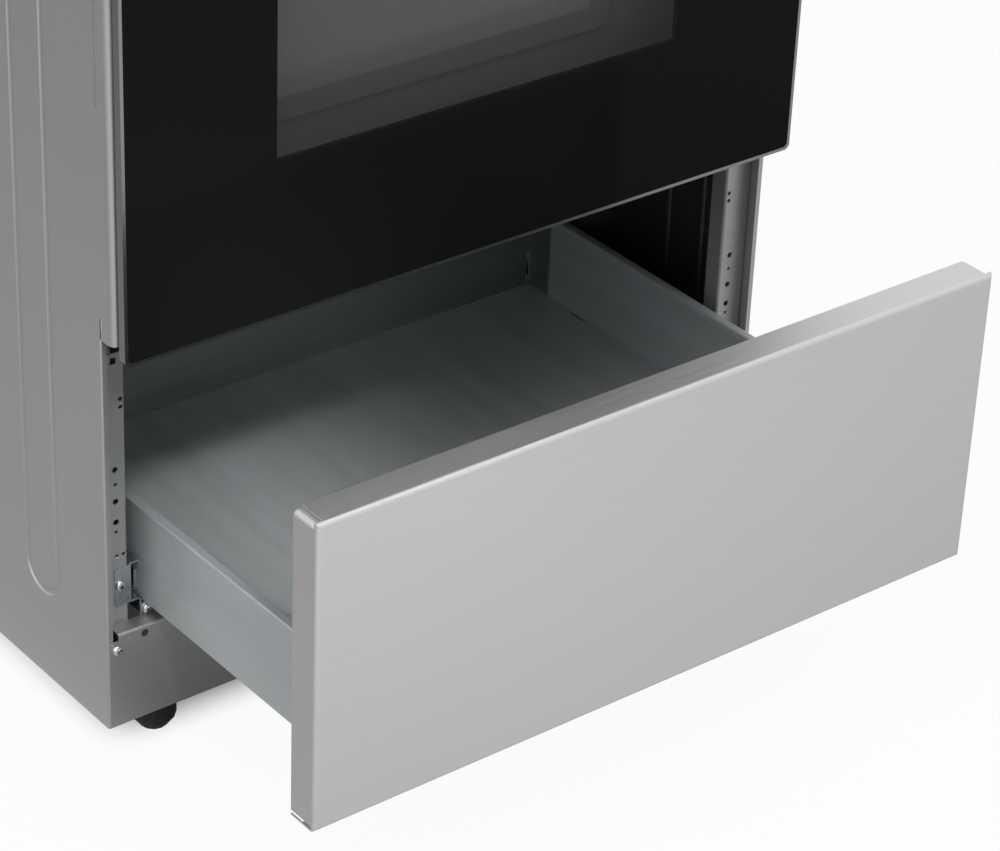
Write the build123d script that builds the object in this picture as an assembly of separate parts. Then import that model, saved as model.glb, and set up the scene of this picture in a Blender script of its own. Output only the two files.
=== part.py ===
from build123d import *
import os

# Freestanding gas range with a storage drawer, in millimetres.
# X runs across the front, Y from front to back, Z up from the floor.
# The origin is on the floor under the middle of the footprint, door face to back.
# The drawer is modelled pulled out by drawer_open; every other piece is at rest.

# Cabinet
width = 600.0                # over the side panels
depth = 600.0                # door face to rear edge
height = 900.0               # floor to the hob's rim
foot_height = 31.0           # floor to the cabinet's lower edge
panel_sheet = 1.0            # painted steel of the side panels
lower_setback = 28.0         # side panel's front edge beside the drawer, behind the door face
upper_setback = 12.0         # rolled front edge beside the door, behind the door face
hem_width = 5.0
hem_bend = 1.8
plinth_tab_width = 15.0      # part of the hem that the plinth is screwed to
plinth_tab_gap = 6.0
nose_width = 10.0
nose_return = 9.0
nose_bend = 6.0
nose_inner_bend = 2.0
strip_lift = 10.0            # rolled edge ends this far above the door's lower edge
relief_width = 2.0
relief_height = 16.0
rear_return = 16.0
bottom_flange = 80.0
bead_depth = 1.5             # pressed stiffening beads in the side panels
bead_width = 6.0
bead_pitch = 40.0            # between the two legs of one bead
bead_first = 113.0           # middle of the first bead, behind the door face
bead_step = 187.0
bead_count = 3
bead_bottom = 72.0           # above the cabinet's lower edge
bead_top_margin = 70.0
short_bead_setback = 26.0
short_bead_width = 3.0
short_bead_bottom = 493.0    # above the cabinet's lower edge

# Front posts inside the lower side panels
post_setback = 40.0
post_width = 25.0
post_flange = 25.0
post_return = 16.0
post_bend = 2.0
post_top_gap = 4.0           # below the drawer front's upper edge
post_hole_inset = 17.0       # from the outer side of the cabinet
post_pair_inset = 22.5
post_hole_levels = (164.0, 181.0, 207.0)
post_hole_radius = 2.3
post_small_levels = (136.0, 156.0, 195.0)
post_small_radius = 1.3
post_pair_levels = (256.0, 262.5)
post_pair_radius = 1.7
post_notch_level = 294.0
post_notch_size = 5.0

# Back panel
back_sheet = 1.0
back_panel_gap = 1.0         # to the side panels' walls
louvre_length = 120.0
louvre_height = 5.0
louvre_pitch = 14.0
louvre_rows = 6
louvre_columns = 3
louvre_column_pitch = 160.0
louvre_top_gap = 90.0

# Plinth under the drawer
plinth_height = 79.0
plinth_setback = 27.0
plinth_sheet = 1.0
plinth_bend = 2.0
plinth_side_gap = 1.5
plinth_bottom_return = 20.0
plinth_notch_width = 9.0
plinth_notch_height = 9.0
plinth_hole_inset = 31.0
plinth_hole_drop = 6.5
plinth_hole_radius = 3.0

# Levelling feet
foot_sides = 12
foot_base_radius = 10.5
foot_radius = 17.0
foot_taper = 9.0
foot_inset_x = 55.0
foot_inset_y = 55.0
stud_radius = 5.0
stud_length = 20.0
stud_clearance = 0.2

# Drawer
drawer_open = 222.0          # how far the drawer stands out as photographed
drawer_front_lift = 62.0     # front's lower edge above the cabinet's lower edge
drawer_front_height = 242.0
front_side_gap = 2.0         # cabinet's side to the drawer front's or the door's side
drawer_front_depth = 26.4
drawer_front_sheet = 1.0
drawer_front_bend = 3.5
drawer_front_lower_flange = 14.0
corner_relief = 4.0          # open slit at the drawer front's lower corners
corner_cut = 6.5             # upper flange stops this far inside the front's side
corner_bend = 5.0
corner_tab = 14.0            # tab bent in from the side, under the upper flange
corner_gap = 0.6
tray_side = 38.0             # tray's wall inside the cabinet's side
tray_depth = 480.0           # drawer face to the tray's back wall
tray_bottom = 90.0           # above the cabinet's lower edge
tray_height = 78.0
tray_sheet = 0.9
tray_bend = 1.5
rim_width = 8.0
rim_return = 5.0
tray_front_margin = 10.0
back_flange = 26.0
back_slit_width = 2.5
back_slit_height = 31.0
rivet_radius = 2.2
rivet_height = 0.8
rivet_places = ((9.4, 37.0), (20.0, 13.0))  # before the back wall and above the floor
tray_slot_length = 20.0
tray_slot_width = 3.0
tray_slot_inset = 4.0        # slot's middle from the tray's wall
tray_slot_back = 69.0        # slot's middle before the back wall

# Drawer runners and the rails that slide in them
runner_sheet = 1.2
runner_bend = 1.5
runner_gap = 10.4            # runner's web to the tray's wall
runner_drop = 8.0            # runner's lip below the tray's floor
runner_lip = 12.0
runner_height = 33.2
runner_lip_gap = 2.2
runner_hook = 3.7
runner_hook_gap = 2.5
runner_ear = 12.0
runner_tab = 10.0            # tab bent in from the lip's front end, under the tray
runner_tab_gap = 0.6
rail_reach = 9.5
rail_height = 16.5
rail_length = 208.0          # along the tray's rear end only
slide_clearance = 0.3

# Oven
cavity_side = 75.0           # cavity wall inside the cabinet's side
cavity_head = 47.0           # cavity's ceiling below the door's upper edge
cavity_depth = 403.0
cavity_lift = 34.0           # cavity floor above the door's lower edge
cavity_sheet = 1.0
cavity_corner = 14.0
cavity_flange = 14.0
frame_setback = 66.0         # oven front frame behind the door face
frame_sheet = 1.0
frame_return = 22.0
frame_bend = 1.8
ceiling_drop = 21.0          # drawer bay's ceiling below the cavity floor
ceiling_sheet = 1.0
ceiling_flange = 18.0
ceiling_front_gap = 2.0
wool_thickness = 30.0
wool_floor_thickness = 17.0
wool_clearance = 0.3
seal_width = 8.0
seal_margin = 8.0
seal_gap = 0.3
seal_round = 2.4
guide_radius = 2.5
guide_inset = 9.5            # shelf rail's axis from the cavity wall
guide_front = 40.0
guide_back = 41.0            # shelf rail's rear end before the cavity's back wall
guide_bend = 5.0
guide_first = 71.0           # lowest shelf rail above the cavity floor
guide_step = 80.0
guide_levels = 3
guide_overrun = 20.0
rack_radius = 3.0
rack_bar_radius = 2.0
rack_bars = 9
rack_bend = 12.0
pan_depth = 36.0             # baking tray
pan_rim = 12.0
pan_sheet = 1.0
pan_taper = 12.0
pan_overrun = 5.0            # past each end of the shelf rails
pan_corner = 20.0
pan_gap = 1.0                # tray's wall to the shelf rails
floor_plate_lift = 31.0
floor_plate_sheet = 1.2
floor_plate_gap = 3.0
floor_plate_front = 8.0
floor_slot_count = 6
floor_slot_length = 40.0
floor_slot_width = 5.0
floor_slot_inset = 35.0
oven_burner_radius = 9.0
oven_burner_lift = 15.0
oven_burner_front = 45.0
oven_burner_tail = 30.0
oven_burner_slots = 10
oven_burner_wall = 1.5
oven_burner_slot = 2.0
lamp_radius = 26.0
lamp_depth = 20.0
lamp_base = 7.0
lamp_crown = 15.6
lamp_x = 140.0
lamp_drop = 55.0
bulb_radius = 2.5
bulb_length = 120.0
bulb_drop = 14.0
bulb_back = 60.0
flue_width = 104.0
flue_depth = 34.0
flue_sheet = 1.0
flue_back = 40.0             # flue's middle in front of the cavity's back wall
flue_rise = 64.0

# Oven door
door_gap = 8.0               # drawer front to door
door_corner = 5.0
trim_width = 2.6
trim_depth = 7.0
glass_thickness = 4.0
glass_recess = 0.3
glass_gap = 0.2
inner_door_inset_x = 16.0    # cabinet's side to the inner pan's side
inner_door_inset_low = 16.0
inner_door_inset_high = 8.0
inner_door_sheet = 1.0
inner_door_bend = 6.0
inner_door_corner = 12.0
inner_door_back = 60.0       # inner pan's back behind the door face
inner_rim = 8.0
window_width = 279.0
window_head = 117.0          # window below the door's upper edge
window_lift = 135.0          # above the door's lower edge
window_corner = 8.0
inner_glass_lap = 18.0
pivot_back = 13.0            # hinge axis behind the door face
pivot_lift = 9.0             # hinge axis above the door's lower edge
pin_radius = 2.8
pin_clearance = 0.1
lug_radius = 6.0
arm_inset = 30.0             # hinge arm's middle inside the cabinet's side
arm_thickness = 4.0
lug_gap = 0.6
lug_thickness = 3.0
arm_blade = 90.0
arm_foot = 18.0
arm_foot_thickness = 2.0
arm_slot_clearance = 0.5
bracket_base = 2.0
bracket_height = 30.0
handle_inset = 48.0          # handle's end inside the door's side
handle_width = 24.0
handle_thickness = 14.0
handle_round = 6.5
handle_standoff = 34.0
handle_drop = 42.0           # handle's axis below the door's upper edge
handle_post_inset = 40.0     # post's axis inside the handle's end
handle_post_radius = 7.0
handle_end = 1.5
handle_post_flare = 2.0
handle_post_foot = 5.0

# Control panel, knobs and buttons
control_gap = 5.0
control_height = 84.0
control_sheet = 1.0
control_bend = 3.0
knob_pitch = 86.0
knob_radius = 21.0
knob_skirt = 5.0
knob_shoulder = 2.0
knob_waist = 16.5
knob_depth = 26.0
knob_gap = 4.5
knob_travel = 3.0
grip_width = 11.0
grip_length = 40.0
grip_depth = 14.0
knob_edge = 1.5
pointer_width = 2.0
pointer_depth = 0.8
spindle_radius = 3.0
spindle_grip = 16.0
spindle_clearance = 0.1
spindle_end_gap = 0.4
spindle_tail_gap = 2.0       # spindle's end to the bore's end when pushed
spindle_hole = 6.0
valve_setback = 40.0
valve_width = 28.0
valve_depth = 33.8
valve_height = 22.0
valve_bore = 22.0
valve_bore_clearance = 0.2
valve_boss_radius = 7.0
valve_boss_height = 4.0
button_inset = 50.0          # button's axis inside the cabinet's side
button_radius = 7.0
button_proud = 5.0
button_clearance = 0.4
button_body = 9.0
button_stem_radius = 3.0
button_stem = 14.0
button_edge = 1.0
switch_collar = 11.0
switch_collar_wall = 3.0
switch_width = 22.0
switch_depth = 20.0
switch_bore_clearance = 0.3

# Hob
hob_sheet = 1.0
hob_skirt = 29.0
hob_rim = 16.0
hob_tray_depth = 10.0
hob_corner = 25.0
hob_edge = 3.0
hob_corner_edge = 4.0
burner_inset = 158.0         # burners' axes inside the cabinet's sides
burner_front_inset = 172.0   # front burners' axes behind the door face
burner_back_inset = 178.0    # rear burners' axes before the rear edge
rapid_radius = 46.0
middle_radius = 36.0
small_radius = 26.0
cup_flange = 9.0
cup_flange_thickness = 2.0
cup_depth = 26.0
cup_wall = 5.0
cup_hole_clearance = 0.5
crown_height = 12.0
crown_slots = 18
crown_slot_width = 3.0
crown_slot_height = 6.0
crown_wall = 7.0
cap_thickness = 5.0
cap_overhang = 2.0
cap_round = 2.0
electrode_radius = 1.8
electrode_height = 11.0
electrode_gap = 2.6
support_top = 24.0           # pan supports' upper face above the hob's rim
support_bar = 9.0
support_bar_height = 10.0
support_gap = 6.0            # between the two supports
support_margin_x = 24.0
support_margin_y = 46.0
finger_gap = 24.0            # finger tip to the burner's axis
finger_root = 15.0
support_foot = 10.0
support_corner = 14.0

# Gas pipes
manifold_radius = 8.0
manifold_gap = 0.2
manifold_overhang = 45.0
manifold_bend = 30.0
inlet_inset = 48.0           # inlet's axis inside the cabinet's right side
inlet_nut_radius = 15.0
inlet_nut_length = 12.0
inlet_neck_radius = 12.0
inlet_neck_gap = 0.3
inlet_hex_radius = 14.0
inlet_hex_length = 9.0
inlet_thread_radius = 10.48  # half of a G 1/2 thread's outer diameter
inlet_thread_length = 16.0
inlet_bore = 6.0
burner_pipe_radius = 4.0
burner_pipe_drop = 12.0      # pipes' level below the burner cups
burner_pipe_bend = 6.0
oven_pipe_x = 80.0
oven_pipe_back = 24.0
gland_inset = 45.0           # gland's axis inside the cabinet's left side
gland_drop = 90.0
gland_flange = 14.0
gland_neck = 10.0
gland_nose = 9.0
gland_bore = 5.0
gland_flange_thickness = 4.0
gland_neck_gap = 0.2

# Pan-head screws
screw_head_radius = 4.0
screw_head_height = 2.8
screw_shank_radius = 2.0
screw_length = 8.0
screw_gap = 0.15
runner_screw_inset = 18.2
runner_screw_level = 111.5
tab_screw_inset = 40.5
tab_screw_drop = 5.6         # below the tray's floor
plinth_screw_inset = 7.5
plinth_screw_level = 66.7
rear_screw_inset = 8.0

# Planes and levels that several pieces share
overcut = 1.0                # how far a cutter runs past the face that it opens
half = width / 2
front = -depth / 2
back = depth / 2
inside = half - panel_sheet
rear_inside = back - panel_sheet - back_sheet
cabinet_bottom = foot_height
panel_top = height - hob_skirt
drawer_bottom = cabinet_bottom + drawer_front_lift
drawer_top = drawer_bottom + drawer_front_height
door_bottom = drawer_top + door_gap
door_top = panel_top - control_height - control_gap
door_height = door_top - door_bottom
door_width = width - 2 * front_side_gap
strip_bottom = door_bottom + strip_lift
control_bottom = door_top + control_gap
knob_level = control_bottom + control_height / 2
cavity_floor = door_bottom + cavity_lift
cavity_top = door_top - cavity_head
cavity_height = cavity_top - cavity_floor
cavity_width = width - 2 * cavity_side
cavity_middle = cavity_floor + cavity_height / 2
cavity_mouth = front + frame_setback
cavity_back = cavity_mouth + cavity_depth
ceiling_top = cavity_floor - ceiling_drop
pivot_y = front + pivot_back
pivot_z = door_bottom + pivot_lift
hob_tray = height - hob_tray_depth
support_level = height + support_top
drawer_face = front - drawer_open
tray_floor = cabinet_bottom + tray_bottom
tray_half = half - tray_side
arm_x = half - arm_inset
button_x = half - button_inset
burner_x = half - burner_inset
burner_front_y = front + burner_front_inset
burner_back_y = back - burner_back_inset
inlet_x = half - inlet_inset
gland_x = -half + gland_inset
knob_places = [knob_pitch * (index - 2) for index in range(5)]
knob_names = ["rear_left", "front_left", "oven", "front_right", "rear_right"]
burners = {
    "rear_left": (-burner_x, burner_back_y, middle_radius),
    "front_left": (-burner_x, burner_front_y, rapid_radius),
    "front_right": (burner_x, burner_front_y, small_radius),
    "rear_right": (burner_x, burner_back_y, middle_radius),
}
facing_front = Rot(90, 0, 0)  # turns a piece built up along Z to point out of the front
facing_back = Rot(-90, 0, 0)
pieces = {}


def block(x, y, z):
    """A box between the low and high values of each axis."""
    middle = [(low + high) / 2 for low, high in (x, y, z)]
    return Pos(*middle) * Box(x[1] - x[0], y[1] - y[0], z[1] - z[0])


def sheet_section(points, bends, thickness):
    """Section of a folded sheet that lies to the right of the outline's run."""
    return make_face(offset(FilletPolyline(*points, radius=bends), thickness, side=Side.RIGHT))


def along_x(section, low, high):
    """A Y-Z section drawn out across the cabinet."""
    return extrude(Plane.YZ.offset(low) * section, high - low)


def along_y(section, low, high):
    """An X-Z section drawn out from front to back."""
    return extrude(Plane.XZ.offset(-high) * section, high - low)


def along_z(section, low, high):
    """An X-Y section drawn out upwards."""
    return extrude(Plane.XY.offset(low) * section, high - low)


def rod(start, end, radius):
    """A round bar between two points."""
    line = Line(start, end)
    return sweep(Plane(line @ 0, z_dir=line % 0) * Circle(radius), path=line)


def wire(points, bends, radius):
    """A round bar bent along a route."""
    line = FilletPolyline(*points, radius=bends)
    return sweep(Plane(line @ 0, z_dir=line % 0) * Circle(radius), path=line)


def turned(points):
    """A solid turned about Z from a half outline of (radius, height) points."""
    outline = [(radius, 0, level) for radius, level in points]
    return revolve(make_face(Polyline(*outline, close=True)), Axis.Z)


def across(place_x, place_y, place_z, radius, length):
    """A round cutter along Y, centred on a place."""
    return Pos(place_x, place_y, place_z) * facing_front * Cylinder(radius, length)


def both_sides(piece):
    """A left-hand piece and its mirror image as one group."""
    return Compound(children=[piece, mirror(piece, about=Plane.YZ)])


# Places of the pan-head screws, as the underside of the head and the way it points
runner_screw = (inside + panel_sheet - runner_screw_inset, front + post_setback - runner_sheet)
plinth_screw = (half - plinth_screw_inset, front + plinth_setback)
rear_screw_levels = [cabinet_bottom + share * (panel_top - cabinet_bottom) for share in (0.15, 0.5, 0.85)]
front_screws = [
    (*runner_screw, cabinet_bottom + runner_screw_level),
    (half - tab_screw_inset, runner_screw[1], tray_floor - tab_screw_drop),
    (*plinth_screw, cabinet_bottom + plinth_screw_level),
]
rear_screws = [(half - rear_screw_inset, back, level) for level in rear_screw_levels]


def with_screw_holes(piece):
    """A left-hand piece with clearance holes for the screws that pass through it."""
    for place_x, place_y, place_z in front_screws + rear_screws:
        piece -= across(-place_x, place_y, place_z, screw_shank_radius + screw_gap, 2 * screw_length)
    return piece


def side_panel():
    """Left side: one painted sheet, hemmed beside the drawer and rolled beside the door."""
    rear_edge = [(-half, back), (-half + rear_return, back)]
    hem = [(-half + hem_width, front + lower_setback), (-half, front + lower_setback)]
    nose = [
        (-half + nose_width, front + upper_setback + nose_return),
        (-half + nose_width, front + upper_setback),
        (-half, front + upper_setback),
    ]
    lower = sheet_section(hem + rear_edge, [hem_bend, hem_bend], panel_sheet)
    upper = sheet_section(nose + rear_edge, [nose_inner_bend, nose_bend, hem_bend], panel_sheet)
    panel = along_z(lower, cabinet_bottom, strip_bottom) + along_z(upper, strip_bottom, panel_top)
    panel += block(
        (-inside, -half + bottom_flange),
        (front + lower_setback + panel_sheet, back - panel_sheet),
        (cabinet_bottom, cabinet_bottom + panel_sheet),
    )
    panel += block(
        (-half + hem_bend, -half + plinth_tab_width),
        (front + lower_setback, front + lower_setback + panel_sheet),
        (cabinet_bottom, cabinet_bottom + plinth_height - plinth_tab_gap),
    )
    panel -= block(
        (-half - panel_sheet, -half + hem_width),
        (front + lower_setback - relief_width, front + lower_setback),
        (strip_bottom, strip_bottom + relief_height),
    )
    bead_low = cabinet_bottom + bead_bottom
    bead_high = panel_top - bead_top_margin
    bead_middle = (bead_low + bead_high) / 2
    bead_round = bead_width**2 / (8 * bead_depth) + bead_depth / 2
    ring = SlotOverall(bead_high - bead_low - bead_width, bead_pitch, rotation=90)
    outside = Plane.YZ.offset(-half - bead_round + bead_depth)
    for index in range(bead_count):
        place_y = front + bead_first + index * bead_step
        path = (outside * Pos(place_y, bead_middle) * ring).wire()
        start = Plane(path @ 0, z_dir=path % 0)
        ridge = sweep(start * Circle(bead_round + panel_sheet), path=path)
        panel += ridge & block((-inside, 0), (front, back), (cabinet_bottom, panel_top))
        panel -= sweep(start * Circle(bead_round), path=path)
    short_low = cabinet_bottom + short_bead_bottom
    short_place = (front + short_bead_setback, (short_low + bead_high) / 2)
    short = Pos(*short_place) * SlotOverall(bead_high - short_low, short_bead_width, rotation=90)
    panel -= along_x(short, -half, -half + panel_sheet / 2)
    for place_y in (front + foot_inset_y, back - foot_inset_y):
        hole = Cylinder(stud_radius + stud_clearance, 4 * panel_sheet)
        panel -= Pos(-half + foot_inset_x, place_y, cabinet_bottom) * hole
    return with_screw_holes(panel)


pieces["side_panel_left"] = side_panel()
pieces["side_panel_right"] = mirror(pieces["side_panel_left"], about=Plane.YZ)


def front_post():
    """Left post: a folded channel inside the side panel, punched for fixings."""
    outline = [
        (-inside + post_width, front + post_setback + post_return),
        (-inside + post_width, front + post_setback),
        (-inside, front + post_setback),
        (-inside, front + post_setback + post_flange),
    ]
    section = sheet_section(outline, [post_bend, post_bend], panel_sheet)
    post = along_z(section, cabinet_bottom + panel_sheet, drawer_top - post_top_gap)
    face = front + post_setback
    punched = [(post_hole_inset, level, post_hole_radius) for level in post_hole_levels]
    punched += [(post_hole_inset, level, post_small_radius) for level in post_small_levels]
    punched += [(post_pair_inset, level, post_pair_radius) for level in post_pair_levels]
    punched += [(post_pair_inset, post_small_levels[0], post_small_radius)]
    for inset, level, radius in punched:
        post -= across(-half + inset, face, cabinet_bottom + level, radius, 4 * panel_sheet)
    notch = Box(post_notch_size, 4 * panel_sheet, post_notch_size)
    post -= Pos(-half + post_hole_inset, face, cabinet_bottom + post_notch_level) * notch
    return with_screw_holes(post)


pieces["front_posts"] = both_sides(front_post())


def back_panel():
    """Flat sheet inside the side panels' rear edges, with louvres and the pipe holes."""
    reach = inside - back_panel_gap
    panel = block(
        (-reach, reach), (rear_inside, rear_inside + back_sheet), (cabinet_bottom + panel_sheet, panel_top)
    )
    slot = Box(louvre_length, 4 * back_sheet, louvre_height)
    top_row = panel_top - louvre_top_gap
    for column in range(louvre_columns):
        for row in range(louvre_rows):
            place_x = (column - (louvre_columns - 1) / 2) * louvre_column_pitch
            panel -= Pos(place_x, rear_inside, top_row - row * louvre_pitch) * slot
    panel -= across(inlet_x, rear_inside, knob_level, inlet_neck_radius + inlet_neck_gap, 4 * back_sheet)
    gland_level = panel_top - gland_drop
    panel -= across(gland_x, rear_inside, gland_level, gland_neck + gland_neck_gap, 4 * back_sheet)
    screw_hole = screw_shank_radius + screw_gap
    for place_x, place_y, place_z in rear_screws:
        for side in (-1, 1):
            panel -= across(side * place_x, place_y, place_z, screw_hole, 2 * screw_length)
    return panel


pieces["back_panel"] = back_panel()


def plinth():
    """Folded sheet across the front below the drawer, screwed to the side panels' hems."""
    face = front + plinth_setback
    top = cabinet_bottom + plinth_height
    outline = [
        (face + plinth_bottom_return, cabinet_bottom),
        (face, cabinet_bottom),
        (face, top),
        (front + post_setback, top),
    ]
    reach = half - plinth_side_gap
    board = along_x(sheet_section(outline, [plinth_bend, plinth_bend], plinth_sheet), -reach, reach)
    behind = (face + plinth_sheet, face + 2 * plinth_bottom_return)
    for side in (-1, 1):
        notch_x = sorted((side * (half - plinth_notch_width), side * half))
        notch_z = (top - plinth_notch_height, top + overcut)
        board -= block(notch_x, (face - overcut, face + post_setback), notch_z)
        flange_x = sorted((side * (half - bottom_flange - plinth_side_gap), side * half))
        board -= block(flange_x, behind, (cabinet_bottom - overcut, cabinet_bottom + 2 * plinth_bend))
        hole_x = side * (half - plinth_hole_inset)
        board -= across(hole_x, face, top - plinth_hole_drop, plinth_hole_radius, 4 * plinth_sheet)
        screw_x = side * plinth_screw[0]
        screw_z = cabinet_bottom + plinth_screw_level
        board -= across(screw_x, face, screw_z, screw_shank_radius + screw_gap, 4 * plinth_sheet)
    return board


pieces["plinth"] = plinth()


def levelling_feet():
    """Four faceted plastic feet on threaded studs, screwed into the bottom flanges."""
    sole = RegularPolygon(foot_base_radius, foot_sides)
    girth = Plane.XY.offset(foot_taper) * RegularPolygon(foot_radius, foot_sides)
    foot = loft([sole, girth], ruled=True) + extrude(girth, foot_height - foot_taper)
    foot += along_z(Circle(stud_radius), foot_height, foot_height + stud_length)
    places = [(x, y) for x in (-1, 1) for y in (front + foot_inset_y, back - foot_inset_y)]
    return Compound(children=[Pos(x * (half - foot_inset_x), y, 0) * foot for x, y in places])


pieces["levelling_feet"] = levelling_feet()


def bay_ceiling():
    """Folded shield over the drawer bay, fixed between the side panels."""
    reach = inside - bead_depth
    low = ceiling_top - ceiling_flange
    outline = [(-reach, low), (-reach, ceiling_top), (reach, ceiling_top), (reach, low)]
    section = sheet_section(outline, [frame_bend, frame_bend], ceiling_sheet)
    return along_y(section, cavity_mouth + ceiling_front_gap, rear_inside)


pieces["bay_ceiling"] = bay_ceiling()

# The left runner's web, lip and hook, worked out from the tray's wall
runner_web = -tray_half - runner_gap - runner_sheet
runner_bottom = tray_floor - runner_drop
runner_ledge = runner_bottom + runner_lip
runner_top = runner_ledge + runner_height


def runner():
    """Left runner: a zinc-plated channel with an ear screwed to the front post."""
    lip_x = -tray_half - runner_lip_gap - runner_sheet
    hook_x = -tray_half - runner_hook_gap
    outline = [
        (lip_x, runner_bottom),
        (lip_x, runner_ledge),
        (runner_web, runner_ledge),
        (runner_web, runner_top),
        (hook_x, runner_top),
        (hook_x, runner_top - runner_hook),
    ]
    section = sheet_section(outline, [runner_bend] * 4, runner_sheet)
    ear_front = front + post_setback - runner_sheet
    channel = along_y(section, ear_front, rear_inside)
    channel += block(
        (runner_web - runner_ear, runner_web + runner_sheet / 2),
        (ear_front, front + post_setback),
        (runner_ledge, runner_top - runner_bend),
    )
    tab_top = tray_floor - runner_tab_gap
    channel += block(
        (lip_x, lip_x + runner_sheet + runner_tab),
        (ear_front, front + post_setback),
        (tab_top - runner_tab, tab_top),
    )
    return with_screw_holes(channel)


pieces["runner_left"] = runner()
pieces["runner_right"] = mirror(pieces["runner_left"], about=Plane.YZ)


def rounded_tunnel(grow, corner, low, high):
    """The oven cavity's rounded section, grown by a margin, between two planes."""
    section = RectangleRounded(cavity_width + 2 * grow, cavity_height + 2 * grow, corner)
    return along_y(Pos(0, cavity_middle) * section, low, high)


def oven_cavity():
    """Enamelled box with an open mouth and a flange behind the front frame."""
    outer = cavity_corner + cavity_sheet
    box = rounded_tunnel(cavity_sheet, outer, cavity_mouth, cavity_back + cavity_sheet)
    flange_low = cavity_mouth + frame_sheet
    box += rounded_tunnel(
        cavity_sheet + cavity_flange, outer + cavity_flange, flange_low, flange_low + cavity_sheet
    )
    box -= rounded_tunnel(0, cavity_corner, cavity_mouth - overcut, cavity_back)
    pipe_hole = oven_burner_radius + wool_clearance
    box -= across(0, cavity_back, cavity_floor + oven_burner_lift, pipe_hole, 4 * cavity_sheet)
    vent = Box(flue_width - 4 * flue_sheet, flue_depth - 4 * flue_sheet, 4 * cavity_sheet)
    box -= Pos(0, cavity_back - flue_back, cavity_top) * vent
    return box


pieces["oven_cavity"] = oven_cavity()


def oven_front_frame():
    """Folded sheet between the side panels, with the cavity's mouth cut through it."""
    face = cavity_mouth
    outline = [(inside, face + frame_return), (inside, face), (-inside, face), (-inside, face + frame_return)]
    section = sheet_section(outline, [frame_bend, frame_bend], frame_sheet)
    frame = along_z(section, ceiling_top, control_bottom)
    outer = cavity_corner + cavity_sheet
    return frame - rounded_tunnel(cavity_sheet, outer, face - overcut, face + frame_return)


pieces["oven_front_frame"] = oven_front_frame()


def insulation():
    """Glass-wool jacket round the cavity's sides, top, bottom and back."""
    reach = cavity_width / 2 + wool_thickness
    jacket = block(
        (-reach, reach),
        (cavity_mouth + frame_sheet + 2 * cavity_sheet, cavity_back + wool_thickness),
        (cavity_floor - wool_floor_thickness, cavity_top + wool_thickness),
    )
    grow = cavity_sheet + wool_clearance
    jacket -= rounded_tunnel(grow, cavity_corner + grow, cavity_mouth, cavity_back + grow)
    pipe = oven_burner_radius + 2 * wool_clearance
    pipe_level = cavity_floor + oven_burner_lift
    jacket -= across(0, cavity_back + wool_thickness / 2, pipe_level, pipe, 2 * wool_thickness)
    vent = Box(flue_width + 2 * wool_clearance, flue_depth + 2 * wool_clearance, 3 * wool_thickness)
    return jacket - Pos(0, cavity_back - flue_back, cavity_top + wool_thickness) * vent


pieces["insulation"] = insulation()


def door_seal():
    """Soft ring on the front frame round the cavity's mouth."""
    low = front + inner_door_back + seal_gap
    inner = cavity_sheet + seal_margin
    ring = rounded_tunnel(inner + seal_width, cavity_corner + inner + seal_width, low, cavity_mouth)
    ring -= rounded_tunnel(inner, cavity_corner + inner, low - overcut, cavity_mouth + overcut)
    return fillet(ring.faces().sort_by(Axis.Y)[0].edges(), seal_round)


pieces["door_seal"] = door_seal()

# Shelf rails: the axis of each rail across the cavity, along it and up
rail_x = cavity_width / 2 - guide_inset
rail_front = cavity_mouth + guide_front
rail_back = cavity_back - guide_back
rail_levels = [cavity_floor + guide_first + index * guide_step for index in range(guide_levels)]
rest_level = guide_radius + slide_clearance


def shelf_guide():
    """Left shelf guide: two upright wires that carry three rails."""
    wall_x = cavity_width / 2 - guide_radius - spindle_clearance
    low = rail_levels[0] - guide_overrun
    high = rail_levels[-1] + guide_overrun
    guide = None
    for place_y in (rail_front, rail_back):
        upright = rod((-wall_x, place_y, low), (-wall_x, place_y, high), guide_radius)
        guide = upright if guide is None else guide + upright
    for level in rail_levels:
        route = [
            (-wall_x, rail_front, level),
            (-rail_x, rail_front, level),
            (-rail_x, rail_back, level),
            (-wall_x, rail_back, level),
        ]
        guide += wire(route, [guide_bend, guide_bend], guide_radius)
    return guide


pieces["shelf_guides"] = both_sides(shelf_guide())


def oven_rack():
    """Chromed wire shelf resting on the second pair of rails."""
    level = rail_levels[1] + rest_level + rack_radius
    low = rail_front - guide_overrun
    high = rail_back + guide_overrun
    corners = [(rail_x, low), (rail_x, high), (-rail_x, high), (-rail_x, low)]
    route = [(0, low, level)] + [(x, y, level) for x, y in corners] + [(-overcut, low, level)]
    rack = wire(route, [rack_bend] * 4, rack_radius)
    rack += rod((-2 * overcut, low, level), (overcut, low, level), rack_radius)
    for index in range(rack_bars):
        place_x = (index + 1) * 2 * rail_x / (rack_bars + 1) - rail_x
        rack += rod((place_x, low, level), (place_x, high, level), rack_bar_radius)
    return rack


pieces["oven_rack"] = oven_rack()


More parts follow.
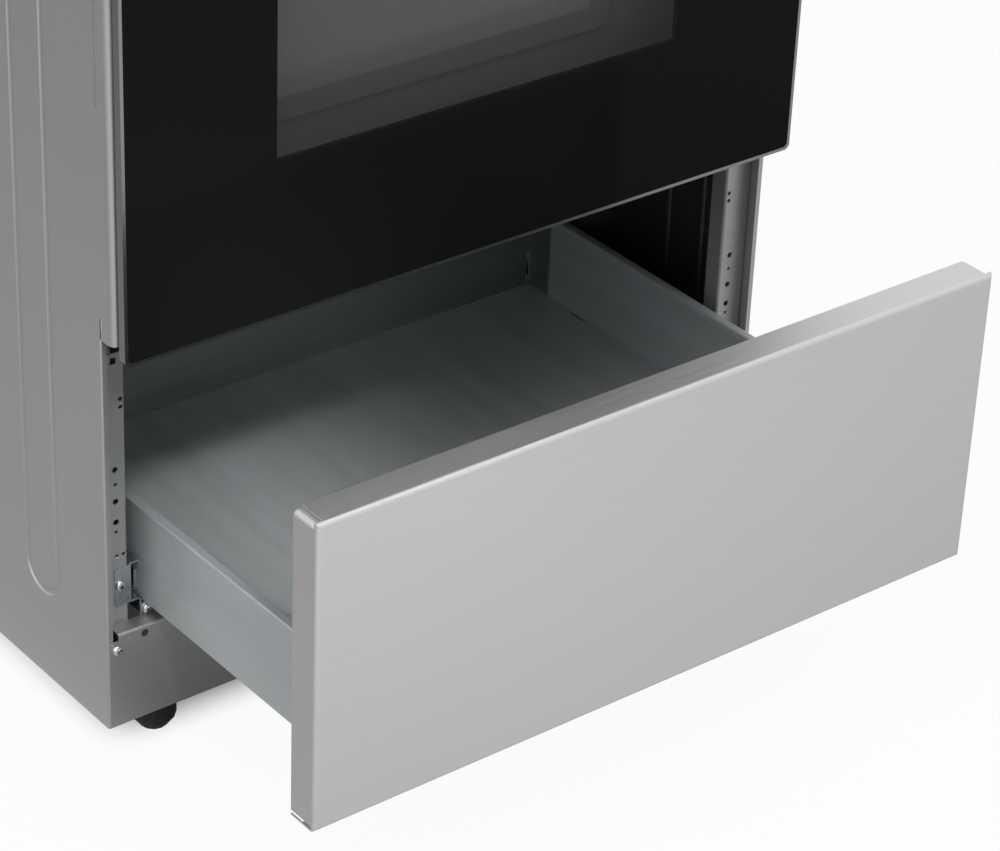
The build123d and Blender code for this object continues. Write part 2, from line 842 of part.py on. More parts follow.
def baking_tray():
    """Enamelled tray whose rim rests on the lowest pair of rails."""
    rim_level = rail_levels[0] + rest_level
    inner_width = 2 * (rail_x - guide_radius - pan_gap) - 2 * pan_sheet
    pan_length = rail_back - rail_front + 2 * pan_overrun
    middle = Pos(0, (rail_front + rail_back) / 2, rim_level)
    outer = extrude(RectangleRounded(inner_width, pan_length, pan_corner), -pan_depth, taper=pan_taper)
    mouth = RectangleRounded(inner_width - 2 * pan_sheet, pan_length - 2 * pan_sheet, pan_corner - pan_sheet)
    inner = extrude(mouth, -pan_depth + pan_sheet, taper=pan_taper)
    rim_corner = pan_corner + pan_rim / 2
    rim = extrude(RectangleRounded(inner_width + pan_rim, pan_length + pan_rim, rim_corner), pan_sheet)
    hole = extrude(mouth, pan_sheet)
    return middle * (outer + rim - inner - hole)


pieces["baking_tray"] = baking_tray()


def oven_floor_plate():
    """Loose plate over the oven burner, with down-turned ends and heat slots."""
    low = cavity_mouth + floor_plate_front
    high = cavity_back - floor_plate_gap
    level = cavity_floor + floor_plate_lift
    reach = cavity_width / 2 - floor_plate_gap
    outline = [(low, cavity_floor), (low, level), (high, level), (high, cavity_floor)]
    plate = along_x(sheet_section(outline, [frame_bend, frame_bend], floor_plate_sheet), -reach, reach)
    cut_y = (low - overcut, high + overcut)
    cut_z = (cavity_floor - overcut, level - 2 * floor_plate_sheet)
    for side in (-1, 1):
        edge_x = sorted((side * (reach - cavity_corner), side * (reach + overcut)))
        plate -= block(edge_x, cut_y, cut_z)
        for index in range(floor_slot_count):
            place_y = low + (index + 0.5) * (high - low) / floor_slot_count
            slot = Box(floor_slot_width, floor_slot_length, 4 * floor_plate_sheet)
            plate -= Pos(side * (reach - floor_slot_inset), place_y, level) * slot
    pipe_hole = oven_burner_radius + wool_clearance
    plate -= across(0, high, cavity_floor + oven_burner_lift, pipe_hole, 8 * floor_plate_sheet)
    return plate


pieces["oven_floor_plate"] = oven_floor_plate()


def oven_burner():
    """Closed steel tube along the oven floor, slotted on top, fed from behind."""
    level = cavity_floor + oven_burner_lift
    low = cavity_mouth + oven_burner_front
    high = cavity_back + wool_thickness + oven_burner_tail
    tube = rod((0, low, level), (0, high, level), oven_burner_radius)
    bore = oven_burner_radius - oven_burner_wall
    tube -= rod((0, low + oven_burner_wall, level), (0, high + overcut, level), bore)
    span = cavity_depth - 2 * oven_burner_front
    for index in range(oven_burner_slots):
        place_y = low + (index + 0.7) * span / oven_burner_slots
        port = Box(oven_burner_radius, oven_burner_slot, oven_burner_radius)
        tube -= Pos(0, place_y, level + oven_burner_radius) * port
    foot_low = (-oven_burner_radius, oven_burner_radius)
    for place_y in (low + oven_burner_front, cavity_back - oven_burner_front):
        foot_y = (place_y - oven_burner_wall / 2, place_y + oven_burner_wall / 2)
        foot = block(foot_low, foot_y, (cavity_floor, level))
        tube += foot - rod((0, low, level), (0, high, level), bore)
    return tube


pieces["oven_burner"] = oven_burner()


def oven_lamp():
    """Domed glass cover of the oven lamp on the cavity's back wall."""
    dome = turned([
        (0, 0),
        (lamp_radius, 0),
        (lamp_radius, lamp_base),
        (lamp_crown, lamp_depth),
        (0, lamp_depth),
    ])
    dome = fillet(dome.edges().group_by(Axis.Z)[-1], lamp_base / 2)
    return Pos(lamp_x, cavity_back, cavity_top - lamp_drop) * facing_front * dome


pieces["oven_lamp"] = oven_lamp()


def thermostat_bulb():
    """Sensor rod of the oven thermostat, held under the cavity's ceiling by two clips."""
    level = cavity_top - bulb_drop
    place_y = cavity_back - flue_back - bulb_back
    sensor = rod((-bulb_length / 2, place_y, level), (bulb_length / 2, place_y, level), bulb_radius)
    for side in (-1, 1):
        place_x = side * bulb_length / 3
        sensor += block(
            (place_x - bulb_radius, place_x + bulb_radius),
            (place_y - bulb_radius / 2, place_y + bulb_radius / 2),
            (level, cavity_top),
        )
    return sensor


pieces["thermostat_bulb"] = thermostat_bulb()


def flue_duct():
    """Folded duct from the cavity's ceiling to the louvres in the back panel."""
    low_y = cavity_back - flue_back - flue_depth / 2
    low_z = cavity_top + cavity_sheet
    high_z = low_z + flue_rise

    def elbow(wall, over):
        points = [
            (low_y + wall, low_z - over),
            (low_y + flue_depth - wall, low_z - over),
            (low_y + flue_depth - wall, high_z - flue_depth + wall),
            (rear_inside + over, high_z - flue_depth + wall),
            (rear_inside + over, high_z - wall),
            (low_y + wall, high_z - wall),
        ]
        reach = flue_width / 2 - wall
        return along_x(make_face(Polyline(*points, close=True)), -reach, reach)

    return elbow(0, 0) - elbow(flue_sheet, overcut)


pieces["flue_duct"] = flue_duct()


def door_trim():
    """Bright steel frame round the edge of the door glass."""
    ring = RectangleRounded(door_width, door_height, door_corner) - RectangleRounded(
        door_width - 2 * trim_width, door_height - 2 * trim_width, door_corner - trim_width / 2
    )
    return along_y(Pos(0, (door_bottom + door_top) / 2) * ring, front, front + trim_depth)


pieces["door_trim"] = door_trim()

glass_back = front + glass_recess + glass_thickness


def door_glass():
    """Full-width outer glass, back-printed black round the window."""
    edge = trim_width + glass_gap
    pane = RectangleRounded(door_width - 2 * edge, door_height - 2 * edge, door_corner - trim_width / 2)
    return along_y(Pos(0, (door_bottom + door_top) / 2) * pane, front + glass_recess, glass_back)


pieces["door_glass"] = door_glass()

inner_half = half - inner_door_inset_x
inner_low = door_bottom + inner_door_inset_low
inner_high = door_top - inner_door_inset_high
inner_back = front + inner_door_back
window_low = door_bottom + window_lift
window_height = door_top - window_head - window_low
window_middle = window_low + window_height / 2


def door_inner_panel():
    """Pressed steel pan behind the glass: rim, walls and a back with the window."""
    tall = inner_high - inner_low
    middle = (inner_low + inner_high) / 2
    outline = RectangleRounded(2 * inner_half, tall, inner_door_corner)
    tub = along_y(Pos(0, middle) * outline, glass_back, inner_back)
    tub = fillet(tub.faces().sort_by(Axis.Y)[-1].edges(), inner_door_bend)
    pan = offset(tub, -inner_door_sheet, openings=tub.faces().sort_by(Axis.Y)[0])
    rim = Rectangle(2 * (inner_half + inner_rim), tall + 2 * inner_rim) - RectangleRounded(
        2 * (inner_half - inner_door_sheet), tall - 2 * inner_door_sheet, inner_door_corner - inner_door_sheet
    )
    edge = trim_width + glass_gap
    pane = Pos(0, (door_bottom + door_top) / 2) * Rectangle(door_width - 2 * edge, door_height - 2 * edge)
    pan += along_y((Pos(0, middle) * rim) & pane, glass_back, glass_back + inner_door_sheet)
    opening = RectangleRounded(window_width, window_height, window_corner)
    pan -= along_y(Pos(0, window_middle) * opening, inner_back - 2 * inner_door_bend, inner_back + overcut)
    for side in (-1, 1):
        slot_x = (
            side * arm_x - arm_thickness / 2 - arm_slot_clearance,
            side * arm_x + arm_thickness / 2 + arm_slot_clearance,
        )
        slot_y = (pivot_y - lug_radius - arm_slot_clearance, pivot_y + lug_radius + arm_slot_clearance)
        pan -= block(slot_x, slot_y, (inner_low - overcut, inner_low + 2 * inner_door_sheet))
    return pan


pieces["door_inner_panel"] = door_inner_panel()


def door_inner_glass():
    """Inner pane, seated on the inside of the pan round the window."""
    high = inner_back - inner_door_sheet
    lap = 2 * inner_glass_lap
    pane = RectangleRounded(window_width + lap, window_height + lap, window_corner)
    return along_y(Pos(0, window_middle) * pane, high - glass_thickness, high)


pieces["door_inner_glass"] = door_inner_glass()


def hinge_arm():
    """Left hinge arm: an eye on the pin and a blade on a foot inside the pan."""
    low_x = -arm_x - arm_thickness / 2
    high_x = -arm_x + arm_thickness / 2
    foot_level = inner_low + inner_door_sheet
    eye = Pos(pivot_y, pivot_z) * Circle(lug_radius)
    neck = Pos(pivot_y, (pivot_z + foot_level) / 2) * Rectangle(2 * lug_radius, foot_level - pivot_z)
    blade = Pos(pivot_y, foot_level + arm_blade / 2) * Rectangle(2 * lug_radius, arm_blade)
    arm = along_x(eye + neck + blade, low_x, high_x)
    arm += block(
        (low_x, low_x + arm_foot),
        (pivot_y - lug_radius, pivot_y + arm_foot),
        (foot_level, foot_level + arm_foot_thickness),
    )
    bore = Pos(pivot_y, pivot_z) * Circle(pin_radius + pin_clearance)
    return arm - along_x(bore, low_x - overcut, high_x + overcut)


pieces["hinge_arms"] = both_sides(hinge_arm())


def hinge_bracket():
    """Left hinge bracket: two lugs on the oven's front frame that hold the pin."""
    lug_y = (pivot_y, cavity_mouth)
    cheek = Pos(pivot_y, pivot_z) * Circle(lug_radius) + Pos(
        (lug_y[0] + lug_y[1]) / 2, pivot_z
    ) * Rectangle(lug_y[1] - lug_y[0], 2 * lug_radius)
    offset_x = arm_thickness / 2 + lug_gap
    outer = offset_x + lug_thickness
    bracket = along_x(cheek, -arm_x - outer, -arm_x - offset_x)
    bracket += along_x(cheek, -arm_x + offset_x, -arm_x + outer)
    bracket += block(
        (-arm_x - outer, -arm_x + outer),
        (cavity_mouth - bracket_base, cavity_mouth),
        (pivot_z - lug_radius, pivot_z + bracket_height),
    )
    pin = Pos(pivot_y, pivot_z) * Circle(pin_radius)
    return bracket + along_x(pin, -arm_x - outer, -arm_x + outer)


pieces["hinge_brackets"] = both_sides(hinge_bracket())

handle_level = door_top - handle_drop
handle_reach = door_width / 2 - handle_inset
handle_back = front - handle_standoff


def door_handle():
    """Brushed bar with a rounded section and closed ends."""
    section = RectangleRounded(handle_thickness, handle_width, handle_round)
    middle = Pos(handle_back - handle_thickness / 2, handle_level)
    bar = along_x(middle * section, -handle_reach, handle_reach)
    ends = bar.edges().group_by(Axis.X)
    return chamfer(ends[0] + ends[-1], handle_end)


pieces["door_handle"] = door_handle()


def handle_posts():
    """Two turned spacers between the glass and the handle bar."""
    length = handle_standoff + glass_recess
    flare = handle_post_radius + handle_post_flare
    post = turned([
        (0, 0),
        (flare, 0),
        (flare, handle_post_flare),
        (handle_post_radius, handle_post_foot),
        (handle_post_radius, length),
        (0, length),
    ])
    places = [side * (handle_reach - handle_post_inset) for side in (-1, 1)]
    seat = Pos(0, front + glass_recess, handle_level)
    return Compound(children=[Pos(x, 0, 0) * seat * facing_front * post for x in places])


pieces["handle_posts"] = handle_posts()


def drawer_front():
    """Stainless sheet folded back on all four sides, with tabs under its upper flange."""
    outline = Pos(0, (drawer_bottom + drawer_top) / 2) * Rectangle(door_width, drawer_front_height)
    tub = along_y(outline, drawer_face, drawer_face + drawer_front_depth)
    tub = fillet(tub.faces().sort_by(Axis.Y)[0].edges(), drawer_front_bend)
    shell = offset(tub, -drawer_front_sheet, openings=tub.faces().sort_by(Axis.Y)[-1])
    inner_reach = door_width / 2 - drawer_front_sheet
    shell -= block(
        (-inner_reach, inner_reach),
        (drawer_face + drawer_front_lower_flange, drawer_face + drawer_front_depth + overcut),
        (drawer_bottom - overcut, drawer_bottom + 2 * drawer_front_sheet),
    )
    side_x = door_width / 2
    tab_top = drawer_top - drawer_front_sheet - corner_gap
    behind = (drawer_face + drawer_front_bend, drawer_face + drawer_front_depth)
    cut_y = (behind[0], behind[1] + overcut)
    for side in (-1, 1):
        slit_x = sorted((side * inner_reach, side * (side_x + overcut)))
        shell -= block(slit_x, cut_y, (drawer_bottom + drawer_front_sheet, drawer_bottom + corner_relief))
        corner_x = sorted((side * (side_x - corner_cut), side * (side_x + overcut)))
        shell -= block(corner_x, cut_y, (tab_top - corner_bend, drawer_top + overcut))
    bent = [(-side_x, tab_top - 2 * corner_bend), (-side_x, tab_top), (-side_x + corner_tab, tab_top)]
    tab = along_y(sheet_section(bent, [corner_bend], drawer_front_sheet), *behind)
    return shell + tab + mirror(tab, about=Plane.YZ)


pieces["drawer_front"] = drawer_front()

tray_front = drawer_face + drawer_front_sheet
tray_back = drawer_face + tray_depth
tray_top = tray_floor + tray_height


def drawer_tray():
    """Galvanised sheet folded to a floor, two rimmed walls and a front upstand."""
    rim_x = tray_half - rim_width
    outline = [
        (-rim_x, tray_top - rim_return),
        (-rim_x, tray_top),
        (-tray_half, tray_top),
        (-tray_half, tray_floor),
        (tray_half, tray_floor),
        (tray_half, tray_top),
        (rim_x, tray_top),
        (rim_x, tray_top - rim_return),
    ]
    section = sheet_section(list(reversed(outline)), [tray_bend] * 6, tray_sheet)
    tray = along_y(section, tray_front, tray_back)
    tray += block(
        (-tray_half + tray_sheet / 2, tray_half - tray_sheet / 2),
        (tray_front, tray_front + tray_sheet),
        (tray_floor + tray_sheet / 2, tray_top - tray_front_margin),
    )
    slot = SlotOverall(tray_slot_length, tray_slot_width, rotation=90)
    for side in (-1, 1):
        place = Pos(side * (tray_half - tray_slot_inset), tray_back - tray_slot_back)
        tray -= along_z(place * slot, tray_floor - overcut, tray_floor + tray_sheet + overcut)
    return tray


pieces["drawer_tray"] = drawer_tray()


def drawer_back():
    """Back wall on the tray's floor, with end flanges riveted inside the tray's walls."""
    reach = tray_half - tray_sheet
    outline = [
        (-reach, tray_back - back_flange),
        (-reach, tray_back),
        (reach, tray_back),
        (reach, tray_back - back_flange),
    ]
    section = sheet_section(outline, [tray_bend, tray_bend], tray_sheet)
    floor_top = tray_floor + tray_sheet
    wall = along_z(section, floor_top, tray_top - tray_sheet)
    rim_clear = rim_width + tray_sheet
    cut_y = (tray_back - back_flange - overcut, tray_back + overcut)
    for side in (-1, 1):
        rim_x = sorted((side * (tray_half - rim_clear), side * tray_half))
        wall -= block(rim_x, cut_y, (tray_top - rim_return - tray_sheet, tray_top))
        bend_x = sorted((side * (reach - 2 * tray_sheet), side * tray_half))
        wall -= block(bend_x, cut_y, (tray_floor, tray_floor + tray_bend))
        slit_x = sorted((side * (reach - tray_bend - back_slit_width), side * (reach - tray_bend)))
        slit_y = (tray_back - 2 * tray_sheet, tray_back + overcut)
        wall -= block(slit_x, slit_y, (tray_floor, tray_floor + back_slit_height))
        for before, above in rivet_places:
            seat = Pos(side * (reach - tray_sheet), tray_back - before, floor_top + above)
            wall += seat * Rot(0, 90, 0) * Cylinder(rivet_radius, 2 * rivet_height)
    return wall


pieces["drawer_back"] = drawer_back()


def drawer_rail():
    """Left rail: an angle on the tray's wall whose flange slides in the runner."""
    low = runner_ledge + runner_sheet + slide_clearance
    outline = [(-tray_half, low + rail_height), (-tray_half, low), (-tray_half - rail_reach, low)]
    section = sheet_section(outline, [runner_bend], runner_sheet)
    return along_y(section, tray_back - rail_length, tray_back)


pieces["drawer_rails"] = both_sides(drawer_rail())


def control_panel():
    """Shallow folded fascia above the door, pierced for the spindles and buttons."""
    middle = Pos(0, knob_level)
    tub = along_y(middle * Rectangle(door_width, control_height), front, front + upper_setback)
    tub = fillet(tub.faces().sort_by(Axis.Y)[0].edges(), control_bend)
    fascia = offset(tub, -control_sheet, openings=tub.faces().sort_by(Axis.Y)[-1])
    for place_x in knob_places:
        fascia -= across(place_x, front, knob_level, spindle_hole, 4 * control_sheet)
    for side in (-1, 1):
        hole = button_radius + button_clearance
        fascia -= across(side * button_x, front, knob_level, hole, 4 * control_sheet)
    return fascia


pieces["control_panel"] = control_panel()


def knob():
    """Moulded knob built up along Z: skirt, waist and a raised grip bar."""
    body = turned([
        (0, 0),
        (knob_radius, 0),
        (knob_radius, knob_skirt),
        (knob_waist, knob_skirt + knob_shoulder),
        (knob_waist, knob_depth - grip_depth),
        (0, knob_depth - grip_depth),
    ])
    grip = SlotOverall(grip_length, grip_width, rotation=90) & Circle(knob_radius)
    top = extrude(Plane.XY.offset(knob_skirt) * grip, knob_depth - knob_skirt)
    top = fillet(top.edges().group_by(Axis.Z)[-1], knob_edge)
    body += top
    pointer = Box(pointer_width, knob_radius, 2 * pointer_depth)
    body -= Pos(0, knob_radius / 2, knob_depth) * pointer
    bore = Cylinder(spindle_radius + spindle_clearance, 2 * (spindle_grip + spindle_end_gap))
    return body - bore


def spindle():
    """Steel spindle built up along Z, from inside the valve to inside the knob."""
    inner_end = valve_setback + valve_bore - knob_travel - spindle_tail_gap
    length = inner_end + knob_gap + spindle_grip
    return Pos(0, 0, -length / 2) * Cylinder(spindle_radius, length)


def gas_valve():
    """Brass tap built up along Z, with the spindle's bore and an outlet boss."""
    body = Pos(0, 0, -valve_depth / 2) * Box(valve_width, valve_height, valve_depth)
    body = chamfer(body.edges().filter_by(Axis.Z), valve_width / 7)
    boss = Rot(90, 0, 0) * Cylinder(valve_boss_radius, valve_boss_height)
    body += Pos(0, valve_height / 2 + valve_boss_height / 2, -valve_depth / 2) * boss
    bore = Cylinder(spindle_radius + valve_bore_clearance, 2 * valve_bore)
    return body - bore


for name, place_x in zip(knob_names, knob_places):
    at_panel = Pos(place_x, front - knob_gap, knob_level)
    pieces["knob_" + name] = at_panel * facing_front * knob()
    pieces["spindle_" + name] = at_panel * facing_front * Pos(0, 0, spindle_grip) * spindle()

valve_y = front + valve_setback
pieces["gas_valves"] = Compound(
    children=[Pos(x, valve_y, knob_level) * facing_front * gas_valve() for x in knob_places]
)


def button():
    """Round push button built up along Z, with a collar behind the fascia and a stem."""
    cap = turned([
        (0, -button_body - button_stem),
        (button_stem_radius, -button_body - button_stem),
        (button_stem_radius, -button_body),
        (button_radius, -button_body),
        (button_radius, 0),
        (0, 0),
    ])
    return fillet(cap.edges().group_by(Axis.Z)[-1], button_edge)


def push_switch():
    """Switch built up along Z behind the fascia, with a collar round the button."""
    ring_radius = button_radius + button_clearance + switch_collar_wall
    collar = Pos(0, 0, -switch_collar / 2) * Cylinder(ring_radius, switch_collar)
    collar -= Pos(0, 0, -switch_collar / 2) * Cylinder(button_radius + button_clearance, switch_collar)
    body = Pos(0, 0, -switch_collar - switch_depth / 2) * Box(switch_width, switch_width, switch_depth)
    bore = Cylinder(button_stem_radius + switch_bore_clearance, 2 * (button_stem + switch_collar))
    return collar + (body - bore)


for name, side in (("ignition_button", -1), ("lamp_button", 1)):
    place = Pos(side * button_x, front - button_proud, knob_level)
    pieces[name] = place * facing_front * button()

switch_places = [Pos(side * button_x, front + control_sheet, knob_level) for side in (-1, 1)]
pieces["push_switches"] = Compound(children=[place * facing_front * push_switch() for place in switch_places])


def hob_top():
    """Pressed steel hob: a rim, a sunk tray with burner holes and a skirt."""

    def form(wall):
        low = panel_top if wall == 0 else panel_top - overcut
        reach = half - wall
        solid = block((-reach, reach), (front + wall, back - wall), (low, height - wall))
        solid = fillet(solid.edges().filter_by(Axis.Z), hob_corner_edge - wall)
        solid = fillet(solid.edges().group_by(Axis.Z)[-1], hob_edge - wall)
        sink = 2 * (hob_rim - wall)
        pocket = RectangleRounded(width - sink, depth - sink, hob_corner + wall)
        return solid - along_z(pocket, hob_tray - wall, height + overcut)

    hob = form(0) - form(hob_sheet)
    for place_x, place_y, radius in burners.values():
        hole = Cylinder(radius - cup_wall + cup_hole_clearance, 4 * hob_tray_depth)
        hob -= Pos(place_x, place_y, hob_tray) * hole
    return hob


pieces["hob_top"] = hob_top()


def burner_cup(radius):
    """Cast cup hung through the hob, with a flange on the tray and a gas inlet below."""
    body = radius - cup_wall
    cup = turned([
        (0, -cup_depth),
        (body, -cup_depth),
        (body, 0),
        (radius + cup_flange, 0),
        (radius + cup_flange, cup_flange_thickness),
        (body - cup_wall, cup_flange_thickness),
        (body - cup_wall, -cup_depth + cup_wall),
        (0, -cup_depth + cup_wall),
    ])
    return cup - Pos(0, 0, -cup_depth) * Cylinder(burner_pipe_radius / 2, 4 * cup_wall)


def burner_crown(radius):
    """Flame ring with radial ports, standing on the cup's flange."""
    ring = Cylinder(radius, crown_height) - Cylinder(radius - crown_wall, crown_height)
    port = Pos(0, 0, crown_height / 2) * Box(2 * crown_wall, crown_slot_width, 2 * crown_slot_height)
    ring -= PolarLocations(radius - crown_wall / 2, crown_slots) * port
    return Pos(0, 0, cup_flange_thickness + crown_height / 2) * ring


def burner_cap(radius):
    """Enamelled lid on the flame ring."""
    lid = Cylinder(radius + cap_overhang, cap_thickness)
    lid = fillet(lid.edges().group_by(Axis.Z)[-1], cap_round)
    return Pos(0, 0, cup_flange_thickness + crown_height + cap_thickness / 2) * lid


def electrode(radius):
    """Spark electrode in its ceramic sleeve beside the flame ring."""
    place = Pos(0, radius + electrode_gap + electrode_radius, cup_flange_thickness + electrode_height / 2)
    return place * Cylinder(electrode_radius, electrode_height)


for name, make in {
    "burner_cups": burner_cup,
    "burner_crowns": burner_crown,
    "burner_caps": burner_cap,
    "spark_electrodes": electrode,
}.items():
    group = [Pos(x, y, hob_tray) * make(radius) for x, y, radius in burners.values()]
    pieces[name] = Compound(children=group)


def pan_support():
    """Left pan support: a cast frame over two burners, with fingers and feet."""
    low_x = -half + support_margin_x
    high_x = -support_gap / 2
    low_y = front + support_margin_y
    high_y = back - support_margin_y
    low_z = support_level - support_bar_height
    middle_y = (burner_front_y + burner_back_y) / 2
    long_x = high_x - low_x
    long_y = high_y - low_y
    ring = RectangleRounded(long_x, long_y, support_corner) - RectangleRounded(
        long_x - 2 * support_bar, long_y - 2 * support_bar, support_corner - support_bar
    )
    frame = along_z(Pos((low_x + high_x) / 2, (low_y + high_y) / 2) * ring, low_z, support_level)
    bar_x = (low_x + support_bar / 2, high_x - support_bar / 2)
    frame += block(bar_x, (middle_y - support_bar / 2, middle_y + support_bar / 2), (low_z, support_level))
    for place_y, ends in ((burner_front_y, (low_y, middle_y)), (burner_back_y, (middle_y, high_y))):
        finger = support_bar / 2
        for edge in ends:
            tip = place_y + (finger_gap if edge > place_y else -finger_gap)
            drop = low_z - (finger_root - support_bar_height)
            points = [(edge, support_level), (tip, support_level), (tip, low_z), (edge, drop)]
            side = make_face(Polyline(*points, close=True))
            frame += along_x(side, -burner_x - finger, -burner_x + finger)
        for edge in (low_x + finger, high_x - finger):
            tip = -burner_x + (finger_gap if edge > -burner_x else -finger_gap)
            drop = low_z - (finger_root - support_bar_height)
            points = [(edge, support_level), (tip, support_level), (tip, low_z), (edge, drop)]
            side = make_face(Polyline(*points, close=True))
            frame += along_y(side, place_y - finger, place_y + finger)
    inset = support_bar / 2
    for place_x in (low_x + inset, high_x - inset):
        for place_y in (low_y + 3 * inset, middle_y, high_y - 3 * inset):
            foot = Box(support_bar, support_foot, support_level - hob_tray)
            frame += Pos(place_x, place_y, (hob_tray + support_level) / 2) * foot
    return frame


pieces["pan_support_left"] = pan_support()
pieces["pan_support_right"] = mirror(pieces["pan_support_left"], about=Plane.YZ)


def gas_manifold():
    """Steel rail behind the valves that turns back along the right side to the inlet."""
    rail_y = valve_y + valve_depth + manifold_gap + manifold_radius
    route = [
        (knob_places[0] - manifold_overhang, rail_y, knob_level),
        (inlet_x, rail_y, knob_level),
        (inlet_x, rear_inside - inlet_nut_length, knob_level),
    ]
    return wire(route, [manifold_bend], manifold_radius)


pieces["gas_manifold"] = gas_manifold()


def gas_inlet():
    """Brass connector through the back panel with an outside pipe thread."""
    neck_end = inlet_nut_length + back_sheet
    hex_end = neck_end + inlet_hex_length
    body = Pos(0, 0, inlet_nut_length / 2) * Cylinder(inlet_nut_radius, inlet_nut_length)
    body += Pos(0, 0, neck_end / 2) * Cylinder(inlet_neck_radius, neck_end)
    body += extrude(Plane.XY.offset(neck_end) * RegularPolygon(inlet_hex_radius, 6), inlet_hex_length)
    thread = Pos(0, 0, hex_end + inlet_thread_length / 2) * Cylinder(inlet_thread_radius, inlet_thread_length)
    total = hex_end + inlet_thread_length
    body += thread
    body -= Pos(0, 0, total) * Cylinder(inlet_bore, 2 * (total - inlet_nut_length / 2))
    return Pos(inlet_x, rear_inside - inlet_nut_length, knob_level) * facing_back * body


pieces["gas_inlet"] = gas_inlet()


def burner_pipes():
    """Aluminium pipes from the valves to the burner cups and to the oven burner."""
    outlet_y = valve_y + valve_depth / 2
    outlet_z = knob_level + valve_height / 2 + valve_boss_height
    cup_bottom = hob_tray - cup_depth
    run_z = cup_bottom - burner_pipe_drop
    pipes = []
    for name, valve_x in zip(knob_names, knob_places):
        if name == "oven":
            tail_y = cavity_back + wool_thickness + oven_pipe_back
            low_z = cavity_floor + oven_burner_lift
            route = [
                (valve_x, outlet_y, outlet_z),
                (valve_x, outlet_y, run_z),
                (oven_pipe_x, tail_y, run_z),
                (oven_pipe_x, tail_y, low_z),
                (oven_burner_radius, tail_y, low_z),
            ]
        else:
            place_x, place_y, _ = burners[name]
            route = [
                (valve_x, outlet_y, outlet_z),
                (valve_x, outlet_y, run_z),
                (place_x, place_y, run_z),
                (place_x, place_y, cup_bottom),
            ]
        pipes.append(wire(route, [burner_pipe_bend] * (len(route) - 2), burner_pipe_radius))
    return Compound(children=pipes)


pieces["burner_pipes"] = burner_pipes()


def cable_gland():
    """Plastic bush in the back panel where the supply lead enters."""
    bush = turned([
        (gland_bore, -gland_flange_thickness),
        (gland_nose, -gland_flange_thickness),
        (gland_neck, 0),
        (gland_neck, back_sheet),
        (gland_flange, back_sheet),
        (gland_flange, back_sheet + gland_flange_thickness),
        (gland_bore, back_sheet + gland_flange_thickness),
    ])
    return Pos(gland_x, rear_inside, panel_top - gland_drop) * facing_back * bush


pieces["cable_gland"] = cable_gland()


def screws():
    """Pan-head screws of the runners, the plinth and the back panel."""
    head = turned([
        (0, -screw_length),
        (screw_shank_radius, -screw_length),
        (screw_shank_radius, 0),
        (screw_head_radius, 0),
        (screw_head_radius, screw_head_height / 2),
        (screw_head_radius / 2, screw_head_height),
        (0, screw_head_height),
    ])
    group = []
    for side in (-1, 1):
        group += [Pos(side * x, y, z) * facing_front * head for x, y, z in front_screws]
        group += [Pos(side * x, y, z) * facing_back * head for x, y, z in rear_screws]
    return Compound(children=group)


pieces["screws"] = screws()

os.makedirs("parts", exist_ok=True)
for name, piece in pieces.items():
    export_step(piece, f"parts/{name}.step")
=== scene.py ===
import bmesh
import bpy
import math
from mathutils import Matrix, Vector


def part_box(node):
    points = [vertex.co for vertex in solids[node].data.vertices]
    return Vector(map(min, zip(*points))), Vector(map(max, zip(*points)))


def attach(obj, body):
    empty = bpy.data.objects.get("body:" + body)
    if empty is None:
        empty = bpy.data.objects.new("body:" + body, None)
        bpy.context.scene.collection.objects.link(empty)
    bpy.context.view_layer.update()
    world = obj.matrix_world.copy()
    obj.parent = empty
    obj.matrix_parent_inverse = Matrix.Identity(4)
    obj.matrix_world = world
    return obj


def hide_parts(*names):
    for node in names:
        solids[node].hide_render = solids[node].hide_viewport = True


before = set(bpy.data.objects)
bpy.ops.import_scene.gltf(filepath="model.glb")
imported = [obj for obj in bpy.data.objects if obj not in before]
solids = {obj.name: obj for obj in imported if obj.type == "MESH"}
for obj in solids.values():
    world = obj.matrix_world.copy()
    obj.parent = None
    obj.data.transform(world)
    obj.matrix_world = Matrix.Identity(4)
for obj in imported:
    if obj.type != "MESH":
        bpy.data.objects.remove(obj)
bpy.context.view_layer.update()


# Side panels: one sheet of steel each, rolled at the front and pressed with long
# beads, then sprayed with a silver-grey lacquer that has a faint orange peel.
noise_low, noise_high = 0.3, 0.7
inward_limit = -0.05


def finish(name, colour, metallic, roughness):
    """A node material with its main shader set to a plain colour and gloss."""
    material = bpy.data.materials.new(name)
    material.use_nodes = True
    shader = material.node_tree.nodes["Principled BSDF"]
    shader.inputs["Base Color"].default_value = (*colour, 1)
    shader.inputs["Metallic"].default_value = metallic
    shader.inputs["Roughness"].default_value = roughness
    return material


def stretched(material, scale):
    """Object coordinates stretched by a scale for each axis."""
    tree = material.node_tree
    place = tree.nodes.new("ShaderNodeTexCoord")
    mapping = tree.nodes.new("ShaderNodeMapping")
    mapping.inputs["Scale"].default_value = scale
    tree.links.new(place.outputs["Object"], mapping.inputs["Vector"])
    return mapping.outputs["Vector"]


def speckle(material, scale, detail=3):
    """Noise over the piece, from 0 to 1."""
    noise = material.node_tree.nodes.new("ShaderNodeTexNoise")
    noise.inputs["Scale"].default_value = 1
    noise.inputs["Detail"].default_value = detail
    material.node_tree.links.new(stretched(material, scale), noise.inputs["Vector"])
    return noise.outputs["Fac"]


